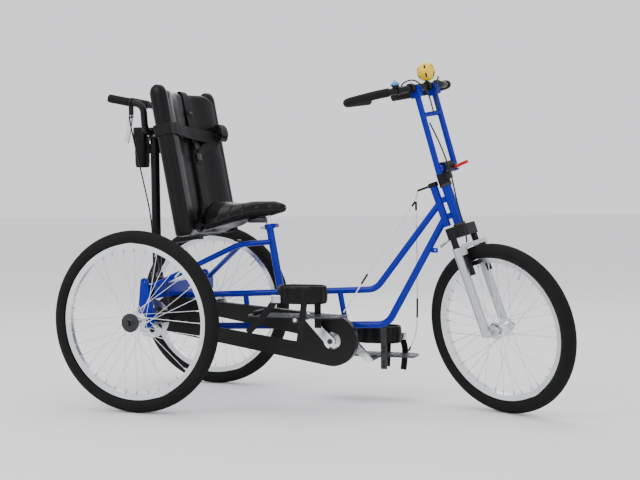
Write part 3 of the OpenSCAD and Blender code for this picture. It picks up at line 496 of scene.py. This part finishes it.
# %% [markdown]
# ## Chain
# Plates and rollers follow the same belt line as the CAD band, one link for
# each 12.7 mm of its length.

# %%


def chain_path(pitch=12.7):
    r1 = pitch / (2 * math.sin(math.pi / 36))
    r2 = pitch / (2 * math.sin(math.pi / 18))
    c1, c2 = np.array([CRANK[0], CRANK[1]]), np.array([0.0, REAR_R])
    d = c2 - c1
    base = math.atan2(d[1], d[0])
    a = math.acos((r1 - r2) / np.linalg.norm(d))
    pts = []
    for k in range(61):
        t = base + a + (2 * math.pi - 2 * a) * k / 60
        pts.append(c1 + r1 * np.array([math.cos(t), math.sin(t)]))
    for k in range(41):
        t = base - a + 2 * a * k / 40
        pts.append(c2 + r2 * np.array([math.cos(t), math.sin(t)]))
    pts.append(pts[0])
    d = [0.0]
    for i in range(len(pts) - 1):
        d.append(d[-1] + float(np.linalg.norm(pts[i + 1] - pts[i])))
    count = int(round(d[-1] / pitch / 2) * 2)
    out, j = [], 0
    for i in range(count):
        s = d[-1] * i / count
        while d[j + 1] < s:
            j += 1
        f = (s - d[j]) / (d[j + 1] - d[j])
        out.append(pts[j] + (pts[j + 1] - pts[j]) * f)
    return out


links = chain_path()
parts = []
for i, p in enumerate(links):
    q = links[(i + 1) % len(links)]
    d = (q - p) / np.linalg.norm(q - p)
    nrm = np.array([-d[1], d[0]])
    wide = 3.2 if i % 2 == 0 else 2.2
    outline = []
    for t, w in ((-3.4, 0), (-2.4, 2.9), (0, 4.0), (3.2, 3.2), (6.35, 2.7), (9.5, 3.2), (12.7, 4.0),
                 (15.1, 2.9), (16.1, 0)):
        outline.append((t, w))
    outline += [(t, -w) for t, w in outline[-2:0:-1]]
    for s in (-1, 1):
        y0, y1 = -50 + s * wide, -50 + s * (wide + 0.9)
        v = [(*(p + d * t + nrm * w), y) for y in (y0, y1) for t, w in outline]
        v = [(x, y, z) for x, z, y in v]
        m = len(outline)
        f = [list(range(m)), list(range(m, 2 * m))[::-1]]
        f += [[c, (c + 1) % m, m + (c + 1) % m, m + c] for c in range(m)]
        parts.append((v, f))
    parts.append(rod((p[0], -54.3, p[1]), (p[0], -45.7, p[1]), 2.4, 8))
chain = make("roller chain", *join_lists(parts), "chain_steel", body="frame")
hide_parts("chain")

# %% [markdown]
# ## Cords and cables
# Each follows a few chosen points. Its stated length is measured on its own line.

# %%


def cable(name, node, points, d, mat, body, place=ROW, n=10, sides=12):
    path = spline(points, n)
    o = make(name, *swept(path, circle(d / 2, sides)), mat, place)
    if node:
        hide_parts(node)
    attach(o, body)
    return o, [tuple(place @ Vector(q)) for q in path], length(path) / 1000


cable("parking brake cable", "rear_brake_cable",
      [(-136, -84, 1000), (-132, -70, 940), (-112, -46, 800), (-92, -26, 660), (-80, -24, 540), (-50, -44, 470),
       (-24, -110, 440), (14, -138, 440), (43, -158, 421), (53, -180, 388), (66, -195, 345)],
      5, "cable_cover", "frame")
cable("front brake cable", "front_brake_cable",
      [(46, -30, CLAMP_T + 150), (62, -34, CLAMP_T + 60), (64, -36, CLAMP_T - 30), (52, -36, HEAD_HIGH - 60),
       (44, -34, HEAD_LOW), (34, -30, 312), (23, -24, 300)], 5, "cable_cover", "steering", STEERED)

# steering spring: a coil between two hooks
spring_line = spline([(996, 22, 568), (979, 13, 554), (965, 4, 542), (957, 0, 532)], 12)
coil, turns = [], 16
fr = frames(spring_line)
for i in range(turns * 12 + 1):
    s = i / (turns * 12) * (len(spring_line) - 1) * 0.74
    j = min(int(s), len(spring_line) - 2)
    q = spring_line[j] + (spring_line[j + 1] - spring_line[j]) * (s - j)
    t, a, b = fr[j]
    w = 2 * math.pi * i / 12
    coil.append(q + 4.6 * (a * math.cos(w) + b * math.sin(w)))
spring = join_lists([swept(coil, circle(0.9, 8)), swept(spring_line, circle(1.0, 8)),
                     rod(spring_line[2], spring_line[26], 2.6, 14)])
spring = make("steering spring", *spring, "steel")
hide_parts("return_spring")
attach(spring, "frame")

# Elastic toe cords from the mast's hook to the two foot plates, with ferrules.
TOE_CORDS = {
    "right": [(880, -5, 690), (812, -50, 575), (742, -98, 455), (692, -136, 362), (670, -150, 327)],
    "left": [(880, 5, 690), (872, 40, 480), (850, 110, 260), (810, 150, 172)],
}
for side, route in TOE_CORDS.items():
    o, line, long = cable(side + " toe cord", "toe_cords", route, 4, "white_cord", "frame")
    hook = spline(route, 10)
    half = len(hook) // 2
    ferrules = [rod(hook[-1], hook[-4], 3.4, 12), rod(hook[0], hook[2], 3.6, 12),
                rod(hook[half], hook[half + 3], 3.4, 12)]
    ends = make(side + " toe cord ferrules", *join_lists(ferrules), "black_plastic", body="frame")

# %% [markdown]
# ## Padding
# A padded shape is a grid of cross-sections. `puff` rounds each section, and
# `crease` adds the fine puckers that run out of a seam.

# %%


def loft(sections, cap=True):
    k, verts, faces = len(sections[0]), [], []
    for s in sections:
        verts += [tuple(p) for p in s]
    for i in range(len(sections) - 1):
        for c in range(k):
            faces.append([i * k + c, i * k + (c + 1) % k, (i + 1) * k + (c + 1) % k, (i + 1) * k + c])
    if cap:
        faces += [list(range(k))[::-1], list(range((len(sections) - 1) * k, len(sections) * k))]
    return verts, faces


def pillow_section(w, h, n=40, power=3.2):
    """Superellipse of half-width w and half-height h."""
    out = []
    for i in range(n):
        a = 2 * math.pi * i / n
        c, s = math.cos(a), math.sin(a)
        out.append((math.copysign(abs(c) ** (2 / power) * w, c),
                    math.copysign(abs(s) ** (2 / power) * h, s)))
    return out


def crease(x, y, seed=0.0):
    return (math.sin(x * 0.21 + seed) * math.sin(y * 0.047 + 1.3 * seed)
            + 0.5 * math.sin(x * 0.43 + y * 0.09 + seed) + 0.3 * math.sin(x * 0.9 - y * 0.15))


# Backrest: two side bolsters with rounded tops and a channelled centre panel.
BACK_H, BACK_W, DEPTH = 520.0, 420.0, 60.0


def bolster(s):
    """A smooth roll with a domed top."""
    rows, n = [], 96
    for i in range(n + 1):
        z = BACK_H * i / n
        top = min(1.0, (BACK_H - z) / 34)
        foot = min(1.0, (z + 3) / 12)
        k = max(0.05, math.sqrt(1 - (1 - top) ** 2) * math.sqrt(1 - (1 - foot) ** 2))
        section = pillow_section(DEPTH / 2 * (0.25 + 0.75 * k), 22.5 * (0.5 + 0.5 * k), 56, 2.3)
        rows.append([(DEPTH / 2 + u, s * (BACK_W / 2 - 22.5) + v, z) for u, v in section])
    return loft(rows)


def centre_panel():
    """Smooth upholstery that rises to a wing beside each bolster."""
    nx, nz = 64, 120
    half = BACK_W / 2 - 26
    front, back = [], []
    for i in range(nz + 1):
        for j in range(nx + 1):
            y = -half + 2 * half * j / nx
            side = max(0.0, (abs(y) - 120) / (half - 120))
            high = BACK_H - 10 - 34 * (1 - math.sqrt(1 - side ** 2))
            z = 3 + (high - 3) * i / nz
            ends = math.sqrt(1 - (1 - min(1.0, min(z - 3, high - z) / 22)) ** 2)
            wing = 0.5 - 0.5 * math.cos(math.pi * min(1.0, max(0.0, (abs(y) - 40) / (half - 50))))
            dip = 1.4 * math.exp(-((z - 300) / 16) ** 2)
            x = 9 + (16 + 33 * wing) * (0.25 + 0.75 * ends) - dip + 0.03 * crease(y, z, 0.4)
            front.append((x, y, z))
            back.append((8.2, y, z))
    w = nx + 1
    verts, faces, m = front + back, [], len(front)
    for i in range(nz):
        for j in range(nx):
            a = i * w + j
            faces.append([a, a + 1, a + w + 1, a + w])
            faces.append([m + a, m + a + w, m + a + w + 1, m + a + 1])
    rim = ([j for j in range(w)] + [i * w + nx for i in range(1, nz + 1)]
           + [nz * w + j for j in range(nx - 1, -1, -1)] + [i * w for i in range(nz - 1, 0, -1)])
    for c in range(len(rim)):
        a, b = rim[c], rim[(c + 1) % len(rim)]
        faces.append([a, m + a, m + b, b])
    return verts, faces


pad = make("backrest padding", *join_lists([bolster(-1), bolster(1), centre_panel()]), "vinyl", BACK)
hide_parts("backrest_pad")
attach(pad, "frame")

# a fine seam down the outer face of each bolster
piping = []
for s in (-1, 1):
    line = [(DEPTH / 2 + 3, s * (BACK_W / 2 - 0.6), z) for z in range(12, 482, 12)]
    piping.append(swept(line, circle(0.9, 8)))
make("backrest piping", *join_lists(piping), "piping", BACK, body="frame")

# Saddle: a wide cushion that narrows to a nose, with a moulded base below.


def saddle_width(x):
    t = (x - 122) / (418 - 122)
    pts = [(0, 62), (0.07, 98), (0.17, 122), (0.30, 123), (0.42, 100), (0.54, 66), (0.68, 40), (0.84, 27),
           (0.95, 20), (1.0, 9)]
    for (a, u), (b, v) in zip(pts, pts[1:]):
        if t <= b:
            f = (t - a) / (b - a)
            f = f * f * (3 - 2 * f)
            return u + (v - u) * f
    return pts[-1][1]


def saddle_droop(t):
    """How far the broad rear of the cushion falls away at its sides."""
    return 40 * (0.5 + 0.5 * math.cos(math.pi * min(1.0, t / 0.72)))


def saddle():
    rows = []
    n = 96
    for i in range(n + 1):
        x = 122 + 296 * i / n
        t = i / n
        w = saddle_width(x)
        topz = (699 - 7 * math.exp(-((t - 0.42) / 0.16) ** 2) - 14 * max(0, t - 0.62) ** 1.3
                - 26 * max(0, 0.12 - t) / 0.12)
        low = 614 + 36 * min(1, (t - 0.28) / 0.62) ** 0.9 if t > 0.28 else 606 + 8 * t / 0.28
        end = min(1.0, (1 - t) / 0.14 + 0.02) ** 0.5 * min(1.0, t / 0.05 + 0.05) ** 0.5
        mid, hh = (topz + low) / 2, (topz - low) / 2 * (0.35 + 0.65 * end)
        ring = []
        for a, (u, v) in enumerate(pillow_section(w, hh, 56, 2.6)):
            y, z = u, mid + v
            if v > 0:
                groove = 4.5 * math.exp(-(y / 9) ** 2) * math.exp(-((t - 0.48) / 0.30) ** 4)
                dome = 5.0 * (abs(y) / max(w, 1)) ** 2.2
                z -= groove + dome
            z -= saddle_droop(t) * (y / w) ** 2
            ring.append((x, y, z))
        rows.append(ring)
    return loft(rows)


seat = make("saddle cushion", *saddle(), "vinyl")
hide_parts("saddle")
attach(seat, "seat")
edge = []
for i in range(61):
    x = 128 + 284 * i / 60
    t = (x - 122) / 296
    z = 652 + 14 * min(1, max(0, (t - 0.25) / 0.5)) - saddle_droop(t)
    edge.append((x, saddle_width(x) + 0.6, z))
welt = [tuple(p) for p in edge] + [(x, -y, z) for x, y, z in reversed(edge)]
make("saddle welt", *swept([np.array(p) for p in welt], circle(1.9, 8)), "piping", body="seat")
under = [block((286, -26, 622), (352, 26, 640), 5, 3), rod((300, -22, 632), (384, -13, 657), 3.6, 12),
         rod((300, 22, 632), (384, 13, 657), 3.6, 12)]
make("saddle rails and clamp", *join_lists(under), "dark_steel", body="seat")

# Ankle cuffs: a padded ring quilted into lobes, and its strap.


def cuff(name, node, place, body, tails):
    path = []
    for a in range(0, 181, 6):
        t = math.radians(a + 90)
        path.append((-70 + 47 + 41.5 * math.cos(t), 110 + 47 + 41.5 * math.sin(t)))
    for a in range(0, 181, 6):
        t = math.radians(a - 90)
        path.append((-70 + 165 - 47 + 41.5 * math.cos(t), 110 + 47 + 41.5 * math.sin(t)))
    dense = []
    for i in range(len(path)):
        p, q = np.array(path[i]), np.array(path[(i + 1) % len(path)])
        m = max(1, int(np.linalg.norm(q - p) / 5))
        dense += [p + (q - p) * k / m for k in range(m)]
    # one closed round of the padding: outer face up, then inner face down
    section = [(u, 81.5 + v) for u, v in pillow_section(1.0, 29.5, 64, 2.6)]
    verts, faces, k, n = [], [], len(section), len(dense)
    lobes = max(1, round(n * 5 / 42))
    for i, p in enumerate(dense):
        d = dense[(i + 1) % n] - dense[i - 1]
        d = d / np.linalg.norm(d)
        out = np.array([d[1], -d[0]])
        puff = abs(math.sin(math.pi * lobes * i / n)) ** 0.6
        for u, z in section:
            q = p + out * (u * (3.6 + 4.6 * puff) if u > 0 else u * 4.6)
            verts.append((q[0], q[1], z))
    for i in range(n):
        j = (i + 1) % n
        faces += [[i * k + c, i * k + (c + 1) % k, j * k + (c + 1) % k, j * k + c] for c in range(k)]
    o = make(name + " ankle cuff", verts, faces, "vinyl", place)
    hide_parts(node)
    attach(o, body)
    strap = [swept(spline(line, 8), flat(22, 1.8), up=(0, 1, 0)) for line in tails]
    make(name + " cuff straps", *join_lists(strap), "webbing", place, body=body)
    x0, y0, z0 = tails[0][0]
    buckle = [block((x0 - 17, y0 - 3, z0 - 13), (x0 + 17, y0 + 4, z0 + 13), 2.5),
              rod((x0 - 12, y0 + 5, z0 - 10), (x0 - 12, y0 + 5, z0 + 10), 2, 8)]
    make(name + " cuff buckle", *join_lists(buckle), "steel", place, body=body)


cuff("right", "ankle_cuff_right", PEDAL_R, "right_pedal",
     [[(-64, 200, 68), (-92, 202, 30), (-132, 200, -12), (-168, 196, -46)],
      [(36, 204.5, 106), (36, 206, 60), (30, 207, 10), (16, 205, -88)]])
cuff("left", "ankle_cuff_left", PEDAL_L, "left_pedal",
     [[(88, 190, 70), (98, 194, 30), (96, 196, -10), (92, 194, -48)],
      [(36, 204.5, 106), (34, 206, 60), (32, 206, 16), (30, 203, -40)]])

# Rubber treads on the foot plates
for name, place, body in (("right", PEDAL_R, "right_pedal"), ("left", PEDAL_L, "left_pedal")):
    ribs = [block((-132 + 20 * k, 118, 11.9), (-124 + 20 * k, 190, 14.0), 0.9, 1) for k in range(13)]
    make(name + " plate ribs", *join_lists(ribs), "dark_plastic", place, body=body)
    heel = [block((-150, 108, 12.0), (-142, 196, 26), 2.5),
            block((36.5, 109.8, -33), (57.5, 111.2, 100), 0.6, 1)]
    make(name + " heel stop and bracket face", *join_lists(heel), "black_plastic", place, body=body)

# %% [markdown]
# ## Harness, pouch and push handle details

# %%


def strap(points, width, thick=2.2, up=(1, 0, 0), n=8):
    return swept(spline(points, n), flat(width, thick), up=up)


def upright_strap(points, width, thick=2.2, n=8):
    """A strap whose width stays along Y while it goes up, over and down."""
    return swept(spline(points, n), [(v, u) for u, v in flat(width, thick)], up=(0, 1, 0))


belts = []
for s in (-1, 1):
    # band round each bolster
    y0, y1, x0, x1 = BACK_W / 2 - 47, BACK_W / 2 + 2.4, -2.4, DEPTH + 1.6
    loop = rounded([((x0 + x1) / 2, y1, 365), (x1, y1, 365), (x1, y0, 365), (x0, y0, 365), (x0, y1, 365),
                    ((x0 + x1) / 2 - 0.5, y1, 365)], 9)
    loop = [np.array([p[0], s * p[1], p[2]]) for p in loop]
    fr = frames(loop)
    sect = flat(38, 2.0)
    rows = []
    for q, (t, _, _) in zip(loop, fr):
        out = np.cross(t, np.array([0, 0, 1.0]))
        rows.append([q + out * u + np.array([0, 0, v]) for u, v in sect])
    belts.append(loft(rows, cap=False))
    # lap straps from the foot of the back
    belts.append(strap([(52, s * 150, 16), (56, s * 124, 26), (52, s * 76, 40), (42, s * 30, 52)], 38,
                       up=(0, 0, 1)))
# one strap over the top and down the middle
belts.append(upright_strap([(4, 22, 440), (4, 22, 500), (10, 22, 514), (20, 22, 513), (27, 22, 496), (28, 21, 460),
                            (31, 20, 400), (34, 18, 330), (36, 14, 240), (35, 10, 150), (38, 6, 60)], 44))
# chest band, which drops towards the left and ends in a rolled bundle
belts.append(strap([(62, -170, 366), (60, -130, 361), (54, -50, 355), (52, 30, 350), (56, 100, 346), (64, 146, 346)],
                   42))
roll = []
for i in range(110):
    a, r = i * 0.42, 5 + 0.25 * i
    roll.append(np.array([78 + r * 0.55 * math.cos(a), 152.0, 358 + r * math.sin(a)]))
belts.append(swept(roll, [(-0.9, -28), (-0.9, 28), (0.9, 28), (0.9, -28)], up=(0.3, 0, 1)))
belts.append(strap([(66, 150, 336), (58, 110, 322), (46, 56, 304), (40, 24, 280), (38, 16, 250)], 32))
harness = make("harness straps", *join_lists(belts), "webbing", BACK)
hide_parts("harness")
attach(harness, "frame")
metal = [block((36, -2, 302), (41, 38, 326), 1.6), block((38, -6, 262), (43, 34, 288), 1.6),
         block((33, 4, 430), (36.5, 38, 440), 1.2)]
make("harness buckles", *join_lists(metal), "black_plastic", BACK, body="frame")

# Pouch behind the post: a soft bag with a flap and a zip.
POUCH_LOW, POUCH_TALL, POUCH_X = 822, 141, -126.5
rows = []
for i in range(41):
    z = POUCH_LOW + POUCH_TALL * i / 40
    e = math.sqrt(max(0.0, 1 - (2 * i / 40 - 1) ** 8))
    sag = 1 + 0.06 * math.sin(math.pi * (1 - i / 40))
    ring = []
    for u, v in pillow_section(21, 26, 36, 3.4):
        u = u * (0.8 + 0.2 * e) + 0.3 * crease(z, v)
        ring.append((POUCH_X + u * sag, -10 + v * (0.92 + 0.08 * e), z))
    rows.append(ring)
bag = make("handle pouch", *loft(rows), "webbing")
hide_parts("pouch")
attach(bag, "frame")
top = POUCH_LOW + POUCH_TALL
flap = [block((POUCH_X - 22.5, -37, top - 46), (POUCH_X + 22, 17, top + 2), 5, 3)]
make("pouch flap", *join_lists(flap), "black_plastic", body="frame")
front = POUCH_X - 23.5
fastener = [rod((front, -30, top - 48), (front, 10, top - 48), 1.3, 8),
            block((front - 2.3, -28, top - 53), (front + 0.2, -24, top - 46), 0.8, 1)]
make("pouch zip", *join_lists(fastener), "steel", body="frame")

GRIP_SLOPE = (1040 - 1067) / (-87 + 215)


def on_grip(x):
    return 1067 + (x + 215) * GRIP_SLOPE


caps = []
for s in (-1, 1):
    caps.append(rod((-215, s * 70, on_grip(-215)), (-221, s * 70, on_grip(-221)), 14.9, 24))
make("push grip end caps", *caps[0], "black_plastic", body="frame")
make("push bar end plug", *caps[1], "steel", body="frame")
rings = []
for s in (-1, 1):
    for k in range(8):
        x = -150 - 8.2 * k
        rings.append(swept([(x, s * 70, on_grip(x)), (x - 3.2, s * 70, on_grip(x - 3.2))], circle(14.95, 24)))
make("push grip rings", *join_lists(rings), "foam", body="frame")
screws = [rod((post, y, z), (post, y + dy, z), 4.2, 6) for post, y, dy, z in
          ((-92, -24, -4, 935), (-70, -24, -4, 935), (-92, -24, -4, 953), (-81, -20, -4, 398))]
make("clamp screws", *join_lists(screws), "steel", body="frame")

# %% [markdown]
# ## Bell, horn and bar details

# %%
dome = []
for i in range(13):
    a = math.pi / 2 * i / 12
    dome.append((14.6 * math.cos(a), 18 + 14.6 * math.sin(a)))
verts, faces = [], []
for i in range(36):
    a = 2 * math.pi * i / 36
    verts += [(-16 + r * math.cos(a), -118 + r * math.sin(a), z) for r, z in dome]
for i in range(36):
    j = (i + 1) % 36
    faces += [[i * 13 + c, j * 13 + c, j * 13 + c + 1, i * 13 + c + 1] for c in range(12)]
bell = make("bell dome", verts, faces, "bell_paint", BAR)
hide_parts("bell_and_horn")
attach(bell, "bars")
base = [swept([(-16, -118, 9), (-16, -118, 18)], circle(11.4, 28)),
        rod((-16, -118, 31), (-16, -118, 34.5), 3.2, 12),
        block((-22, -136, 17), (-12, -128, 21), 1.2)]
base += [swept([(-9, -112, 0), (-12, -119, 0)], circle(14, 24))]
make("bell base and thumb lever", *join_lists(base), "black_plastic", BAR, body="bars")

HORN, HORN_R, SECTORS, RINGS = (0, 26, 47), 31.0, 60, 32
prof = []
for i in range(RINGS + 1):
    a = math.pi * i / RINGS
    prof.append((HORN_R * math.sin(a), HORN[2] - HORN_R * math.cos(a)))
verts, faces = [], []
for i in range(SECTORS):
    a = 2 * math.pi * i / SECTORS
    verts += [(HORN[0] + r * math.cos(a), HORN[1] + r * math.sin(a), z) for r, z in prof]
for i in range(SECTORS):
    j = (i + 1) % SECTORS
    w = RINGS + 1
    faces += [[i * w + c, j * w + c, j * w + c + 1, i * w + c + 1] for c in range(RINGS)]
bulb = make("horn bulb", verts, faces, "yellow_plastic", BAR, body="bars")
# dark stripes: short bands on every fifth sector, clear of both poles
bulb.data.materials.append(MAT["black_plastic"])
for k, poly in enumerate(bulb.data.polygons):
    sector, ring = divmod(k, RINGS)
    if sector % 10 < 2 and (8 < ring < 14 or 18 < ring < 24):
        poly.material_index = 1
stem = [rod((0, 17, 11), (0, 24, 24), 5.8, 16), swept([(0, 10, 0), (0, 24, 0)], circle(15, 28)),
        rod((-12, 17, 0), (-20, 17, 0), 4, 10)]
make("horn stem", *join_lists(stem), "black_plastic", BAR, body="bars")
tips = [swept([(-194.6, s * 68.5, 0), (-195.9, s * 62.5, 0)], circle(14.1, 24)) for s in (-1, 1)]
make("bar end caps", *join_lists(tips), "black_plastic", BAR, body="bars")
bolts = [rod((x, s * 44, 291), (x, s * 44, 295), 3.6, 6) for s in (-1, 1) for x in (-12, 12)]
make("riser clamp bolts", *join_lists(bolts), "steel", RISER, body="bars")
for s, name in ((-1, "right"), (1, "left")):
    line = spline([(-36, s * 78, 0), (-8, s * 88, 20), (16, s * 60, 22), (28, s * 24, -20), (24, s * 8, -90)], 10)
    make(name + " lever cable", *swept(line, circle(2.4, 12)), "cable_cover", BAR, body="bars")

# brake noodle, front axle nuts, fork wiper seals, crank bolts and other hardware
noodle = spline([(23, -38, 281), (23, -20, 284), (23, 0, 285), (23, 20, 284), (23, 38, 281)], 6)
make("brake link cable", *swept(noodle, circle(1.2, 8)), "steel", STEERED, body="fork_slider")
quick = [rod((19, -62, 0), (19, -68, 0), 8, 20), rod((19, 62, 0), (19, 68, 0), 8, 20)]
make("front axle nuts", *join_lists(quick), "steel", STEERED, body="fork_slider")
cups = [rod((0, s * 53, 289), (0, s * 53, 292.5), 14, 28) for s in (-1, 1)]
make("fork wiper seals", *join_lists(cups), "black_plastic", STEERED, body="fork_slider")
lug = [swept([(CRANK[0], -89, CRANK[1]), (CRANK[0], -90.5, CRANK[1])], circle(9, 24)),
       swept([(CRANK[0], 89, CRANK[1]), (CRANK[0], 90.5, CRANK[1])], circle(9, 24))]
make("crank bolts", *join_lists(lug), "dark_steel", body="cranks")

# %% [markdown]
# ## Stage, light and camera

# %%
scene = bpy.context.scene
b = bmesh.new()
bmesh.ops.create_grid(b, x_segments=1, y_segments=1, size=30)
me = bpy.data.meshes.new("floor")
b.to_mesh(me)
b.free()
floor = bpy.data.objects.new("floor", me)
scene.collection.objects.link(floor)
m = bpy.data.materials.new("pale floor")
m.use_nodes = True
m.node_tree.nodes["Principled BSDF"].inputs["Base Color"].default_value = (0.86, 0.86, 0.86, 1)
m.node_tree.nodes["Principled BSDF"].inputs["Roughness"].default_value = 0.9
me.materials.append(m)
floor.location.z = -0.0005

world = bpy.data.worlds.new("studio")
scene.world = world
world.use_nodes = True
world.node_tree.nodes["Background"].inputs["Color"].default_value = (0.95, 0.96, 1.0, 1)
world.node_tree.nodes["Background"].inputs["Strength"].default_value = 1.25


def area(name, location, target, size, power, colour=(1, 1, 1)):
    d = bpy.data.lights.new(name, "AREA")
    d.shape, d.size, d.size_y, d.energy, d.color = "RECTANGLE", size[0], size[1], power, colour
    o = bpy.data.objects.new(name, d)
    o.location = location
    o.rotation_euler = (Vector(target) - Vector(location)).to_track_quat("-Z", "Y").to_euler()
    scene.collection.objects.link(o)


area("key", (-1.6, -3.2, 3.0), (0, 0, 0.5), (2.0, 2.0), 60)
area("fill", (3.6, -2.6, 1.8), (0.2, 0, 0.5), (1.6, 1.6), 12)
area("top", (0, 0.4, 3.8), (0, 0, 0.4), (3.0, 2.0), 45)
area("rim", (-1.0, 3.4, 2.2), (0, 0, 0.6), (2.4, 1.2), 18)

cam = bpy.data.cameras.new("camera")
cam.sensor_width, cam.lens = 36, 63.57
co = bpy.data.objects.new("camera", cam)
scene.collection.objects.link(co)
scene.camera = co
az, el, roll = math.radians(19.89), math.radians(2.35), math.radians(-0.74)
back = Vector((math.sin(az) * math.cos(el), -math.cos(az) * math.cos(el), math.sin(el)))
right = Vector((math.cos(az), math.sin(az), 0))
up = right.cross(-back)
x = right * math.cos(roll) + up * math.sin(roll)
y = -right * math.sin(roll) + up * math.cos(roll)
pos = ROW @ Vector((1851.4, -3616.4, 720.0))
co.matrix_world = Matrix(((x.x, y.x, back.x, pos.x), (x.y, y.y, back.y, pos.y),
                          (x.z, y.z, back.z, pos.z), (0, 0, 0, 1)))
